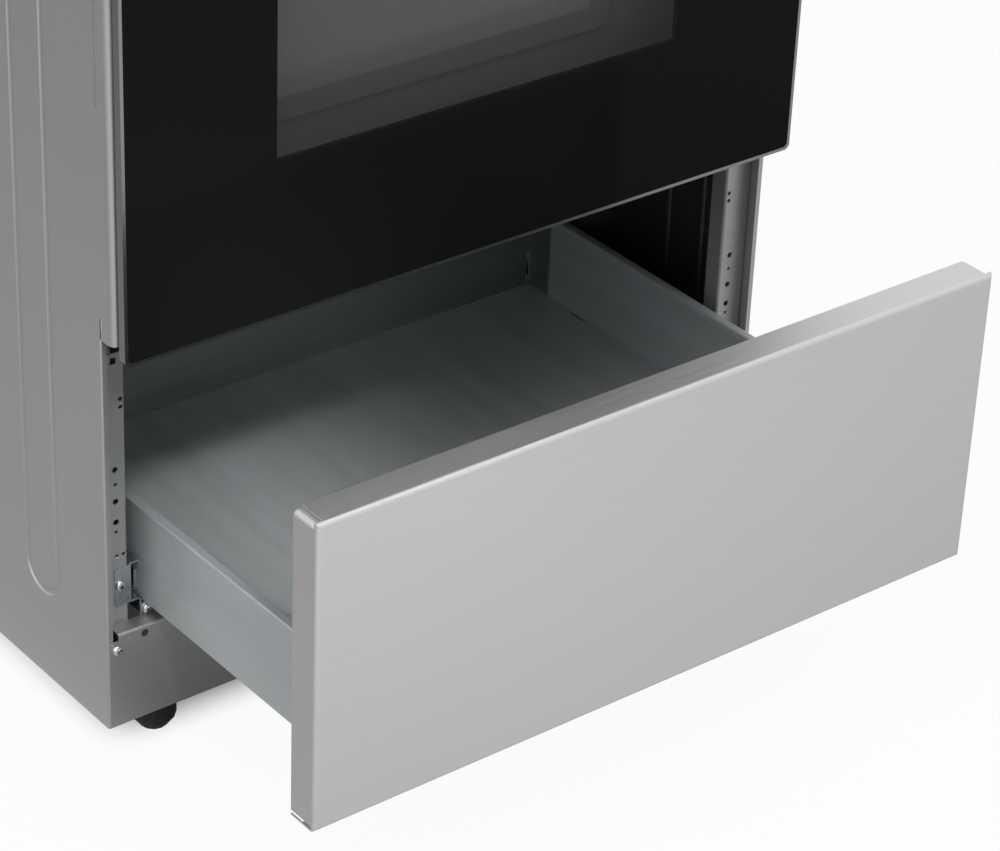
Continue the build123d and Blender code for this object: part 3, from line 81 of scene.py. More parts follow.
def between(material, value, low, high, socket):
    """Runs the middle span of a noise value into a shader socket, from low to high."""
    tree = material.node_tree
    span = tree.nodes.new("ShaderNodeMapRange")
    span.inputs["From Min"].default_value = noise_low
    span.inputs["From Max"].default_value = noise_high
    span.inputs["To Min"].default_value = low
    span.inputs["To Max"].default_value = high
    tree.links.new(value, span.inputs["Value"])
    tree.links.new(span.outputs["Result"], tree.nodes["Principled BSDF"].inputs[socket])


def tinted(material, value, dark, light):
    """Runs a value into the base colour, from a darker tone to a lighter one."""
    tree = material.node_tree
    ramp = tree.nodes.new("ShaderNodeValToRGB")
    ramp.color_ramp.elements[0].position = noise_low
    ramp.color_ramp.elements[0].color = (*dark, 1)
    ramp.color_ramp.elements[1].position = noise_high
    ramp.color_ramp.elements[1].color = (*light, 1)
    tree.links.new(value, ramp.inputs["Fac"])
    tree.links.new(ramp.outputs["Color"], tree.nodes["Principled BSDF"].inputs["Base Color"])


def bumped(material, value, depth):
    """Runs a value into the surface's relief, with its depth in metres."""
    tree = material.node_tree
    bump = tree.nodes.new("ShaderNodeBump")
    bump.inputs["Distance"].default_value = depth
    tree.links.new(value, bump.inputs["Height"])
    tree.links.new(bump.outputs["Normal"], tree.nodes["Principled BSDF"].inputs["Normal"])


def tested(material, operation, value, limit):
    """A sum or comparison of a value with a number or another value."""
    node = material.node_tree.nodes.new("ShaderNodeMath")
    node.operation = operation
    for socket, term in zip(node.inputs, (value, limit)):
        if isinstance(term, bpy.types.NodeSocket):
            material.node_tree.links.new(term, socket)
        else:
            socket.default_value = term
    return node.outputs["Value"]


def split(material, output):
    """The three axes of an output of the piece's own coordinates."""
    tree = material.node_tree
    place = tree.nodes.new("ShaderNodeTexCoord")
    axes = tree.nodes.new("ShaderNodeSeparateXYZ")
    tree.links.new(place.outputs[output], axes.inputs["Vector"])
    return axes.outputs


def backed(material, colour, front):
    """Gives the faces that look to the range's middle, behind a front line, a dark second colour: painted
    shade for the unlit inside of the cabinet.
    """
    tree = material.node_tree
    shader = tree.nodes["Principled BSDF"]
    place = split(material, "Object")
    inward = tested(material, "MULTIPLY", place["X"], split(material, "Normal")["X"])
    inside = tested(material, "LESS_THAN", inward, inward_limit)
    behind = tested(material, "GREATER_THAN", place["Y"], front)
    mix = tree.nodes.new("ShaderNodeMix")
    mix.data_type = "RGBA"
    mix.inputs["B"].default_value = (*colour, 1)
    tree.links.new(tested(material, "MULTIPLY", inside, behind), mix.inputs["Factor"])
    tree.links.new(shader.inputs["Base Color"].links[0].from_socket, mix.inputs["A"])
    tree.links.new(mix.outputs["Result"], shader.inputs["Base Color"])


def dress(material, *names):
    """Gives finished CAD pieces their material."""
    for name in names:
        solids[name].data.materials.clear()
        solids[name].data.materials.append(material)


lacquer = finish("silver_lacquer", (0.46, 0.457, 0.453), 0.85, 0.42)
tinted(lacquer, speckle(lacquer, (900, 900, 900)), (0.44, 0.437, 0.433), (0.48, 0.477, 0.473))
between(lacquer, speckle(lacquer, (6, 6, 6)), 0.38, 0.46, "Roughness")
bumped(lacquer, speckle(lacquer, (350, 350, 350), 1), 0.00002)
# The side panels' inner faces get a near-black tone: painted shade for the dark drawer bay.
backed(lacquer, (0.07, 0.068, 0.066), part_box("front_posts")[1][1])
dress(lacquer, "side_panel_left", "side_panel_right")

# Front posts: folded steel channels inside the side panels, in the same lacquer
# but thinner, so that they look a little darker and rougher.
post_lacquer = finish("post_lacquer", (0.45, 0.447, 0.443), 0.85, 0.48)
tinted(post_lacquer, speckle(post_lacquer, (700, 700, 700)), (0.43, 0.427, 0.423), (0.47, 0.467, 0.463))
between(post_lacquer, speckle(post_lacquer, (20, 20, 20)), 0.44, 0.54, "Roughness")
dress(post_lacquer, "front_posts")


# Back panel and flue: galvanised sheet, flat for the panel and folded for the duct, left
# bare with the flowered grain that hot zinc leaves.
def spangle(material, cells):
    """Crystal pattern of a zinc coat, one random value per flake."""
    flakes = material.node_tree.nodes.new("ShaderNodeTexVoronoi")
    flakes.inputs["Scale"].default_value = 1
    material.node_tree.links.new(stretched(material, (cells, cells, cells)), flakes.inputs["Vector"])
    grey = material.node_tree.nodes.new("ShaderNodeRGBToBW")
    material.node_tree.links.new(flakes.outputs["Color"], grey.inputs["Color"])
    return grey.outputs["Val"]


galvanised = finish("galvanised_sheet", (0.42, 0.46, 0.47), 0.95, 0.4)
tinted(galvanised, spangle(galvanised, 70), (0.39, 0.425, 0.435), (0.45, 0.49, 0.5))
between(galvanised, speckle(galvanised, (40, 40, 40)), 0.36, 0.48, "Roughness")
dress(galvanised, "back_panel", "flue_duct")

# Drawer bay ceiling: a folded shield under the oven, coloured near black with a faint brown cast as painted
# shade, so that the bay under the oven reads dark.
# The near-black colour here is painted shade for the dark bay.
painted_shade_black = finish("painted_shade_black", (0.016, 0.0155, 0.015), 0, 0.7)
tinted(painted_shade_black, speckle(painted_shade_black, (30, 30, 30), 5), (0.011, 0.0107, 0.0105), (0.022, 0.021, 0.0195))
bumped(painted_shade_black, speckle(painted_shade_black, (800, 800, 800), 1), 0.00005)
dress(painted_shade_black, "bay_ceiling")

# Plinth: a folded strip across the front, in the side panels' lacquer with a
# horizontal drag from the roller that coated it.
plinth_coat = finish("plinth_lacquer", (0.44, 0.437, 0.433), 0.85, 0.45)
tinted(plinth_coat, speckle(plinth_coat, (8, 500, 500)), (0.425, 0.422, 0.418), (0.455, 0.452, 0.448))
dress(plinth_coat, "plinth")

# Levelling feet: black moulded plastic on threaded studs, matt and slightly dusty.
# Each is screwed into a flange under the cabinet.
foot_plastic = finish("foot_plastic", (0.006, 0.006, 0.0065), 0, 0.65)
tinted(foot_plastic, speckle(foot_plastic, (120, 120, 120)), (0.004, 0.004, 0.0045), (0.009, 0.009, 0.0095))
bumped(foot_plastic, speckle(foot_plastic, (900, 900, 900), 1), 0.00004)
dress(foot_plastic, "levelling_feet")

# Drawer runners and rails: pressed channels in bright zinc plate, which is
# smoother and bluer than the galvanised sheet.
bright_zinc = finish("bright_zinc", (0.5, 0.54, 0.57), 1, 0.3)
tinted(bright_zinc, speckle(bright_zinc, (60, 60, 60)), (0.44, 0.48, 0.51), (0.56, 0.6, 0.63))
between(bright_zinc, speckle(bright_zinc, (200, 30, 200)), 0.24, 0.38, "Roughness")
dress(bright_zinc, "runner_left", "runner_right", "drawer_rails")

# Screws: zinc-plated pan heads with a cross recess, in the runners' ears, the
# plinth's ends and the back panel. Each is shaped about Z and then laid in place.
screw_zinc = finish("screw_zinc", (0.66, 0.68, 0.69), 1, 0.22)
tinted(screw_zinc, speckle(screw_zinc, (700, 700, 700)), (0.58, 0.6, 0.61), (0.72, 0.74, 0.75))
between(screw_zinc, speckle(screw_zinc, (900, 900, 900)), 0.18, 0.32, "Roughness")
head_rounds = ((0.94, 0), (1, 0.14), (0.98, 0.42), (0.9, 0.66), (0.74, 0.86), (0.6, 0.95))
head_segments = 24
recess_reach = 0.5
recess_taper = 0.6
recess_depth = 0.7
smooth_limit = 32


def pan_head(radius, tall, slot):
    """One screw head on the X-Y plane with a cross recess in its crown."""
    mesh = bmesh.new()
    loops = []
    for share, level in head_rounds:
        circle = bmesh.ops.create_circle(
            mesh,
            segments=head_segments,
            radius=radius * share,
            matrix=Matrix.Translation((0, 0, tall * level)),
        )["verts"]
        loops.append(list({edge for vert in circle for edge in vert.link_edges}))
    reach = radius * recess_reach
    cross = []
    for turn in range(4):
        spin = Matrix.Rotation(turn * math.pi / 2, 3, "Z")
        for corner in ((slot / 2, -slot / 2), (reach, -slot / 2), (reach, slot / 2)):
            cross.append(mesh.verts.new(spin @ Vector((*corner, tall))))
    recess = mesh.faces.new(cross)
    for low, high in zip(loops, loops[1:]):
        bmesh.ops.bridge_loops(mesh, edges=low + high)
    bmesh.ops.bridge_loops(mesh, edges=loops[-1] + list(recess.edges))
    well = bmesh.ops.extrude_face_region(mesh, geom=[recess])["geom"]
    bmesh.ops.delete(mesh, geom=[recess], context="FACES_ONLY")
    floor_corners = [item for item in well if isinstance(item, bmesh.types.BMVert)]
    bmesh.ops.scale(mesh, verts=floor_corners, vec=(recess_taper, recess_taper, 1))
    bmesh.ops.translate(mesh, verts=floor_corners, vec=(0, 0, -tall * recess_depth))
    bmesh.ops.contextual_create(mesh, geom=loops[0])
    bmesh.ops.recalc_face_normals(mesh, faces=mesh.faces)
    return mesh


def lay(mesh, name, body, material):
    """Makes a finished mesh a piece that rides on a body, smooth between its sharp edges."""
    data = bpy.data.meshes.new(name)
    mesh.to_mesh(data)
    mesh.free()
    data.shade_smooth()
    data.set_sharp_from_angle(angle=math.radians(smooth_limit))
    data.materials.append(material)
    piece = bpy.data.objects.new(name, data)
    bpy.context.scene.collection.objects.link(piece)
    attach(piece, body)
    return piece


def gathered(parts):
    """One mesh from several, each with the matrix that puts it in its place."""
    whole = bmesh.new()
    for part, place in parts:
        part.transform(place)
        flat = bpy.data.meshes.new("part")
        part.to_mesh(flat)
        part.free()
        whole.from_mesh(flat)
        bpy.data.meshes.remove(flat)
    return whole


screw_radius = 0.004
screw_tall = 0.0028
screw_slot = 0.0009
ear_screw_inset = 0.0182
ear_screw_level = 0.1115
tab_screw_inset = 0.0405
tab_screw_drop = 0.0056
plinth_screw_inset = 0.0075
plinth_screw_level = 0.0667
back_screw_inset = 0.008
back_screw_shares = (0.15, 0.5, 0.85)
first_turn = 0.5
turn_step = 1.3
side_turn = 0.7
cabinet_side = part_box("side_panel_right")[1][0]
cabinet_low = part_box("side_panel_left")[0][2]
cabinet_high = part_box("side_panel_left")[1][2]
cabinet_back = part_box("side_panel_left")[1][1]
ear_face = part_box("runner_left")[0][1]
plinth_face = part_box("plinth")[0][1]
tray_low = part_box("drawer_tray")[0][2]
to_front = Matrix.Rotation(math.pi / 2, 4, "X")
to_back = Matrix.Rotation(-math.pi / 2, 4, "X")
screw_places = [
    ((cabinet_side - ear_screw_inset, ear_face, cabinet_low + ear_screw_level), to_front),
    ((cabinet_side - tab_screw_inset, ear_face, tray_low - tab_screw_drop), to_front),
    ((cabinet_side - plinth_screw_inset, plinth_face, cabinet_low + plinth_screw_level), to_front),
]
for share in back_screw_shares:
    level = cabinet_low + share * (cabinet_high - cabinet_low)
    screw_places.append(((cabinet_side - back_screw_inset, cabinet_back, level), to_back))
heads = []
for count, (place, facing) in enumerate(screw_places):
    for side in (-1, 1):
        seat = Matrix.Translation((side * place[0], place[1], place[2]))
        tighten = Matrix.Rotation(first_turn + turn_step * count + side_turn * side, 4, "Z")
        heads.append((pan_head(screw_radius, screw_tall, screw_slot), seat @ facing @ tighten))
screw_heads = lay(gathered(heads), "screw_heads", "cabinet", screw_zinc)
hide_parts("screws")

# Oven cavity, frame, floor plate and baking tray: sheet steel in black vitreous enamel,
# which is glossy with a light orange peel and tiny pale flecks.
oven_enamel = finish("oven_enamel", (0.012, 0.012, 0.013), 0, 0.16)
tinted(oven_enamel, speckle(oven_enamel, (1400, 1400, 1400), 2), (0.008, 0.008, 0.009), (0.03, 0.03, 0.032))
bumped(oven_enamel, speckle(oven_enamel, (180, 180, 180), 1), 0.00006)
dress(oven_enamel, "oven_cavity", "oven_front_frame", "oven_floor_plate", "baking_tray")

# Insulation: a blanket of yellow glass wool round the oven cavity, matt and fibrous,
# hidden by the outer panels.
wool = finish("glass_wool", (0.62, 0.52, 0.25), 0, 0.95)
tinted(wool, speckle(wool, (90, 90, 300), 6), (0.5, 0.41, 0.18), (0.74, 0.64, 0.36))
bumped(wool, speckle(wool, (300, 300, 700), 6), 0.0015)
dress(wool, "insulation")

# Door seal: a woven glass-fibre cord, dark grey, clipped round the oven's mouth, where
# the closed door meets it.
seal_weave = finish("seal_weave", (0.05, 0.05, 0.05), 0, 0.85)
tinted(seal_weave, speckle(seal_weave, (700, 700, 700), 1), (0.03, 0.03, 0.03), (0.085, 0.085, 0.085))
bumped(seal_weave, speckle(seal_weave, (900, 900, 900), 1), 0.0005)
dress(seal_weave, "door_seal")

# Shelf guides and rack: bent steel wire, spot welded and chromed. The rack slides in
# on the guides at the cavity's sides.
wire_chrome = finish("wire_chrome", (0.72, 0.72, 0.73), 1, 0.12)
between(wire_chrome, speckle(wire_chrome, (150, 150, 150)), 0.08, 0.2, "Roughness")
dress(wire_chrome, "shelf_guides", "oven_rack")

# Oven burner, thermostat rod, gas rail, spark pins and spindles: plain drawn steel,
# with fine drawing lines.
drawn_steel = finish("drawn_steel", (0.42, 0.41, 0.4), 1, 0.34)
tinted(drawn_steel, speckle(drawn_steel, (300, 12, 300)), (0.36, 0.35, 0.34), (0.48, 0.47, 0.46))
dress(drawn_steel, "oven_burner", "thermostat_bulb", "gas_manifold", "spark_electrodes")
dress(drawn_steel, *[name for name in solids if name.startswith("spindle_")])

# Oven lamp: a domed cover of clear pressed glass, slightly wavy, fixed on the cavity's
# back wall.
lamp_alpha = 0.45
lamp_glass = finish("lamp_glass", (0.85, 0.86, 0.84), 0, 0.08)
lamp_glass.node_tree.nodes["Principled BSDF"].inputs["Alpha"].default_value = lamp_alpha
bumped(lamp_glass, speckle(lamp_glass, (120, 120, 120)), 0.0002)
dress(lamp_glass, "oven_lamp")

# Gas taps and inlet: machined brass with a slightly dull skin. The taps stand behind the
# control panel, in front of the gas rail, and the inlet comes out at the back.
brass = finish("machined_brass", (0.62, 0.43, 0.16), 1, 0.28)
tinted(brass, speckle(brass, (80, 80, 80)), (0.54, 0.36, 0.13), (0.68, 0.49, 0.2))
dress(brass, "gas_valves", "gas_inlet")

# Cable gland and switches: black moulded plastic with a fine grain. The gland sits in
# the back panel and the switches stand behind the two buttons.
black_plastic = finish("black_plastic", (0.015, 0.015, 0.016), 0, 0.42)
tinted(black_plastic, speckle(black_plastic, (300, 300, 300)), (0.012, 0.012, 0.013), (0.02, 0.02, 0.021))
bumped(black_plastic, speckle(black_plastic, (1500, 1500, 1500), 1), 0.00003)
dress(black_plastic, "cable_gland", "push_switches")

# Door pan: pressed steel behind the door's glass, in grey enamel, with a rim, walls and
# an opening for the window.
pan_enamel = finish("pan_enamel", (0.4, 0.4, 0.405), 0, 0.4)
tinted(pan_enamel, speckle(pan_enamel, (900, 900, 900)), (0.38, 0.38, 0.385), (0.42, 0.42, 0.425))
dress(pan_enamel, "door_inner_panel")


# Inner pane: heat-proof glass with a grey printed border where it laps on the pan, and a pale tone over the
# window that is painted reflection standing for the glass's shine.
def framed(material, half_width, low, high):
    """1 inside a rectangle of the door's face, 0 outside it."""
    place = split(material, "Object")
    across = tested(material, "LESS_THAN", tested(material, "ABSOLUTE", place["X"], 0), half_width)
    above = tested(material, "GREATER_THAN", place["Z"], low)
    below = tested(material, "LESS_THAN", place["Z"], high)
    return tested(material, "MULTIPLY", across, tested(material, "MULTIPLY", above, below))


def two_tone(material, share, outside, inside):
    """Mixes two tones into the base colour by a value."""
    tree = material.node_tree
    mix = tree.nodes.new("ShaderNodeMix")
    mix.data_type = "RGBA"
    mix.inputs["A"].default_value = (*outside, 1)
    mix.inputs["B"].default_value = (*inside, 1)
    tree.links.new(share, mix.inputs["Factor"])
    tree.links.new(mix.outputs["Result"], tree.nodes["Principled BSDF"].inputs["Base Color"])


pane_lap = 0.018
pane_low, pane_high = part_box("door_inner_glass")
pane_print_and_painted_reflection = finish("pane_print_and_painted_reflection", (0.5, 0.49, 0.52), 0, 0.12)
window_reflection_mask = framed(pane_print_and_painted_reflection, pane_high[0] - pane_lap, pane_low[2] + pane_lap, pane_high[2] - pane_lap)
# Inside the window the pale tone is painted reflection; the grey outside it is the printed border.
two_tone(pane_print_and_painted_reflection, window_reflection_mask, (0.36, 0.36, 0.365), (0.5, 0.49, 0.525))
between(pane_print_and_painted_reflection, speckle(pane_print_and_painted_reflection, (4, 4, 4)), 0.1, 0.16, "Roughness")
dress(pane_print_and_painted_reflection, "door_inner_glass")

# Outer door glass: toughened glass printed black on its back, with a smoked
# window left in the print.
black_print = (0.0105, 0.0105, 0.0114)
smoke_tint = (0.05, 0.05, 0.053)
smoke_alpha = 0.3
glass_specular = 0.015
door_glass = finish("printed_glass", black_print, 0, 0.05)
glass_shader = door_glass.node_tree.nodes["Principled BSDF"]
glass_shader.inputs["Specular IOR Level"].default_value = glass_specular
window_half_width = 0.1752
window_sill = 0.1206
window_head = 0.097
trim_low, trim_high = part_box("door_trim")
window = framed(door_glass, window_half_width, trim_low[2] + window_sill, trim_high[2] - window_head)
two_tone(door_glass, window, black_print, smoke_tint)
smoke = door_glass.node_tree.nodes.new("ShaderNodeMapRange")
smoke.inputs["To Min"].default_value = 1
smoke.inputs["To Max"].default_value = smoke_alpha
door_glass.node_tree.links.new(window, smoke.inputs["Value"])
door_glass.node_tree.links.new(smoke.outputs["Result"], glass_shader.inputs["Alpha"])
between(door_glass, speckle(door_glass, (3, 3, 3)), 0.04, 0.07, "Roughness")
dress(door_glass, "door_glass")

# Door trim: a narrow drawn steel frame round the door's glass, half bright, with its
# drawing lines across the range.
trim_steel = finish("trim_steel", (0.27, 0.27, 0.27), 1, 0.26)
tinted(trim_steel, speckle(trim_steel, (10, 600, 600)), (0.24, 0.24, 0.24), (0.3, 0.3, 0.3))
dress(trim_steel, "door_trim")

# Hinge arms and brackets: stamped steel, blackened. The arms swing with the door on pins
# that the brackets hold at the oven's front frame.
blackened = finish("blackened_steel", (0.02, 0.02, 0.02), 0.4, 0.45)
tinted(blackened, speckle(blackened, (200, 200, 200)), (0.014, 0.014, 0.014), (0.03, 0.03, 0.03))
dress(blackened, "hinge_arms", "hinge_brackets")

# Drawer front, control panel and hob: stainless sheet, folded or pressed to shape, with
# a fine brushed grain that runs across the range.
stainless = finish("brushed_stainless", (0.63, 0.622, 0.613), 1, 0.46)
tinted(stainless, speckle(stainless, (5, 1500, 1500), 2), (0.62, 0.612, 0.603), (0.64, 0.632, 0.623))
between(stainless, speckle(stainless, (9, 900, 900), 2), 0.43, 0.5, "Roughness")
bumped(stainless, speckle(stainless, (6, 1800, 1800), 1), 0.000006)
dress(stainless, "drawer_front", "control_panel", "hob_top")

# Drawer tray: zinc-coated sheet with rolling streaks from front to back and a faint
# cloudiness, folded up at the sides.
tray_zinc = finish("tray_zinc", (0.41, 0.44, 0.45), 0.4, 0.36)
tinted(tray_zinc, speckle(tray_zinc, (60, 4, 60), 4), (0.38, 0.41, 0.42), (0.44, 0.47, 0.48))
between(tray_zinc, speckle(tray_zinc, (12, 5, 12)), 0.32, 0.4, "Roughness")
dress(tray_zinc, "drawer_tray")

# Drawer back wall: the same sheet, riveted to the tray through its folded tabs, in a darker tone that is
# painted shade from the oven above it.
# The darker tone of this sheet is painted shade, not a different zinc.
shaded_zinc = finish("shaded_zinc", (0.22, 0.24, 0.245), 0.85, 0.42)
tinted(shaded_zinc, speckle(shaded_zinc, (4, 60, 60), 4), (0.2, 0.22, 0.225), (0.24, 0.26, 0.265))
dress(shaded_zinc, "drawer_back")

# Handle and its posts: anodised aluminium with a fine lengthways brush. The posts hold
# the bar clear of the door's glass.
anodised = finish("anodised_aluminium", (0.58, 0.575, 0.57), 1, 0.3)
tinted(anodised, speckle(anodised, (6, 1300, 1300), 2), (0.54, 0.535, 0.53), (0.62, 0.615, 0.61))
dress(anodised, "door_handle", "handle_posts")

# Knobs and buttons: moulded black plastic with a satin skin. The knobs are pushed on the
# taps' spindles, and the buttons slide in holes in the panel.
knob_plastic = finish("knob_plastic", (0.014, 0.014, 0.015), 0, 0.36)
bumped(knob_plastic, speckle(knob_plastic, (1600, 1600, 1600), 1), 0.00003)
tinted(knob_plastic, speckle(knob_plastic, (60, 60, 60)), (0.012, 0.012, 0.013), (0.018, 0.018, 0.019))
dress(knob_plastic, *[name for name in solids if name.startswith("knob_")], "ignition_button", "lamp_button")

# Knob pointers: bright aluminium bars pressed into the groove of each grip, just below
# its face, from the middle towards the top.
pointer_metal = finish("pointer_metal", (0.75, 0.75, 0.74), 1, 0.3)
tinted(pointer_metal, speckle(pointer_metal, (900, 900, 900)), (0.71, 0.71, 0.7), (0.79, 0.79, 0.78))
pointer_width = 0.0018
pointer_start = 0.0008
pointer_end = 0.0172
pointer_thick = 0.0005
pointer_sink = 0.0002
pointer_bevel = 0.0001
knob_names = ("rear_left", "front_left", "oven", "front_right", "rear_right")
for name in knob_names:
    knob_low, knob_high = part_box("knob_" + name)
    middle = (Vector(knob_low) + Vector(knob_high)) / 2
    bar = bmesh.new()
    bmesh.ops.create_cube(bar, size=1)
    bmesh.ops.scale(bar, verts=bar.verts, vec=(pointer_width, pointer_thick, pointer_end - pointer_start))
    bmesh.ops.bevel(
        bar, geom=bar.edges, offset=pointer_bevel, affect="EDGES", segments=2, profile=0.5, material=-1
    )
    seat = Vector((middle.x, knob_low[1] + pointer_thick / 2 + pointer_sink, middle.z))
    bmesh.ops.translate(bar, verts=bar.verts, vec=seat + Vector((0, 0, (pointer_start + pointer_end) / 2)))
    lay(bar, "pointer_" + name, "knob_" + name, pointer_metal)

# Control marks: black ink printed on the steel panel, with a nought and a tapering bar
# for each burner, a four-dot hob sign, figures for the oven and two button signs.
weld_distance = 0.000001
ring_segments = 64
dot_segments = 24


def figure(text, size):
    """A flat mesh of a printed figure, about its middle."""
    curve = bpy.data.curves.new("figure", "FONT")
    curve.body = text
    curve.size = size
    curve.align_x = "CENTER"
    curve.align_y = "CENTER"
    holder = bpy.data.objects.new("figure", curve)
    bpy.context.scene.collection.objects.link(holder)
    flat = bpy.data.meshes.new_from_object(holder.evaluated_get(bpy.context.evaluated_depsgraph_get()))
    mesh = bmesh.new()
    mesh.from_mesh(flat)
    bmesh.ops.remove_doubles(mesh, verts=mesh.verts, dist=weld_distance)
    bpy.data.objects.remove(holder)
    bpy.data.curves.remove(curve)
    bpy.data.meshes.remove(flat)
    return mesh


def ring(outer_radius, inner_radius, shift=(0, 0)):
    """A flat ring whose hole may sit off its middle."""
    mesh = bmesh.new()
    loops = []
    for radius, place in ((outer_radius, (0, 0)), (inner_radius, shift)):
        circle = bmesh.ops.create_circle(
            mesh, segments=ring_segments, radius=radius, matrix=Matrix.Translation((*place, 0))
        )["verts"]
        loops += {edge for vert in circle for edge in vert.link_edges}
    bmesh.ops.bridge_loops(mesh, edges=loops)
    return mesh


def round_at(radius, degrees):
    """A point on a circle, with its angle from the right."""
    return radius * math.cos(math.radians(degrees)), radius * math.sin(math.radians(degrees))


def flame_bar(radius, wide, narrow, start):
    """Half a ring that tapers as it goes round from its start."""
    shift = round_at((wide - narrow) / 2, start + 180)
    mesh = ring(radius + (wide + narrow) / 4, radius - (wide + narrow) / 4, shift)
    everything = [*mesh.verts, *mesh.edges, *mesh.faces]
    cut = (*round_at(1, start - 90), 0)
    bmesh.ops.bisect_plane(mesh, geom=everything, plane_co=(0, 0, 0), plane_no=cut, clear_outer=True)
    return mesh


def dot(radius):
    """A filled dot."""
    mesh = bmesh.new()
    bmesh.ops.create_circle(mesh, cap_ends=True, segments=dot_segments, radius=radius)
    return mesh


def ray(inner, outer, wide, degrees):
    """A short line that points away from the middle."""
    mesh = bmesh.new()
    bmesh.ops.create_grid(mesh, x_segments=1, y_segments=1, size=0.5)
    bmesh.ops.scale(mesh, verts=mesh.verts, vec=(outer - inner, wide, 1))
    bmesh.ops.translate(mesh, verts=mesh.verts, vec=((inner + outer) / 2, 0, 0))
    bmesh.ops.rotate(mesh, verts=mesh.verts, matrix=Matrix.Rotation(math.radians(degrees), 3, "Z"))
    return mesh


ink = finish("panel_ink", (0.02, 0.02, 0.02), 0, 0.55)
tinted(ink, speckle(ink, (2000, 2000, 2000), 1), (0.017, 0.017, 0.017), (0.025, 0.025, 0.025))
panel_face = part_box("control_panel")[0][1]
ink_thick = 0.0001
mark_radius = 0.0275
bar_start = 120
bar_wide = 0.0042
bar_narrow = 0.0008
oven_step = 34
oven_settings = 8
oven_figure_share = 0.8
sign_place = 0.0245
sign_step = 0.0024
sign_dot = 0.0018
sign_line = 0.0004
figure_size = 0.0062
button_sign_lift = 0.0165
sign_ray = 0.0006
ray_end = 0.004
spark_dot = 0.001
spark_ray_start = 0.0022
spark_rays = (45, 90, 135)
lamp_ring = (0.0017, 0.0013)
lamp_ray_start = 0.0024
lamp_ray_step = 45
hob_signs = {"rear_left": (-1, 1), "front_left": (-1, -1), "front_right": (1, -1), "rear_right": (1, 1)}


def panel_seat(name, lift=0):
    """The place on the panel's face behind a knob or button."""
    low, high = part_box(name)
    return Matrix.Translation(((low[0] + high[0]) / 2, panel_face, (low[2] + high[2]) / 2 + lift)) @ to_front


prints = []
for name in knob_names:
    seat = panel_seat("knob_" + name)
    prints.append((figure("0", figure_size), seat @ Matrix.Translation((0, mark_radius, 0))))
    if name == "oven":
        for number in range(1, oven_settings + 1):
            place = round_at(mark_radius, 90 + oven_step * number)
            numeral = figure(str(number), oven_figure_share * figure_size)
            prints.append((numeral, seat @ Matrix.Translation((*place, 0))))
        continue
    prints.append((flame_bar(mark_radius, bar_wide, bar_narrow, bar_start), seat))
    for side in (-1, 1):
        for row in (-1, 1):
            lit = hob_signs[name] == (side, row)
            sign = dot(sign_dot) if lit else ring(sign_dot, sign_dot - sign_line)
            place = (sign_place + side * sign_step, sign_place + row * sign_step, 0)
            prints.append((sign, seat @ Matrix.Translation(place)))
spark_seat = panel_seat("ignition_button", button_sign_lift)
prints.append((dot(spark_dot), spark_seat))
for degrees in spark_rays:
    prints.append((ray(spark_ray_start, ray_end, sign_ray, degrees), spark_seat))
lamp_seat = panel_seat("lamp_button", button_sign_lift)
prints.append((ring(*lamp_ring), lamp_seat))
for degrees in range(0, 360, lamp_ray_step):
    prints.append((ray(lamp_ray_start, ray_end, sign_ray, degrees), lamp_seat))
marks = gathered(prints)
raised = bmesh.ops.extrude_face_region(marks, geom=marks.faces)["geom"]
raised_corners = [item for item in raised if isinstance(item, bmesh.types.BMVert)]
bmesh.ops.translate(marks, verts=raised_corners, vec=(0, -ink_thick, 0))
bmesh.ops.recalc_face_normals(marks, faces=marks.faces)
lay(marks, "panel_marks", "cabinet", ink)

# Burner cups, flame rings and pipes: cast and drawn aluminium, left bare. The cups hang
# in the hob's holes, and the rings stand on their flanges.
cast_aluminium = finish("cast_aluminium", (0.5, 0.5, 0.49), 1, 0.45)
tinted(cast_aluminium, speckle(cast_aluminium, (250, 250, 250)), (0.42, 0.42, 0.41), (0.56, 0.56, 0.55))
bumped(cast_aluminium, speckle(cast_aluminium, (700, 700, 700), 2), 0.00008)
dress(cast_aluminium, "burner_cups", "burner_crowns", "burner_pipes")

# Burner caps: pressed steel lids in matt black enamel, which lie loose on the flame
# rings and lift off by hand.
cap_enamel = finish("cap_enamel", (0.012, 0.012, 0.012), 0, 0.45)
tinted(cap_enamel, speckle(cap_enamel, (1200, 1200, 1200), 2), (0.008, 0.008, 0.008), (0.025, 0.025, 0.025))
dress(cap_enamel, "burner_caps")

# Pan supports: cast iron in rough black enamel. Each is a frame over two burners and
# stands loose on the hob.
cast_iron = finish("enamelled_iron", (0.014, 0.014, 0.014), 0.1, 0.55)
tinted(cast_iron, speckle(cast_iron, (400, 400, 400)), (0.01, 0.01, 0.01), (0.022, 0.022, 0.022))
bumped(cast_iron, speckle(cast_iron, (500, 500, 500), 3), 0.00015)
dress(cast_iron, "pan_support_left", "pan_support_right")

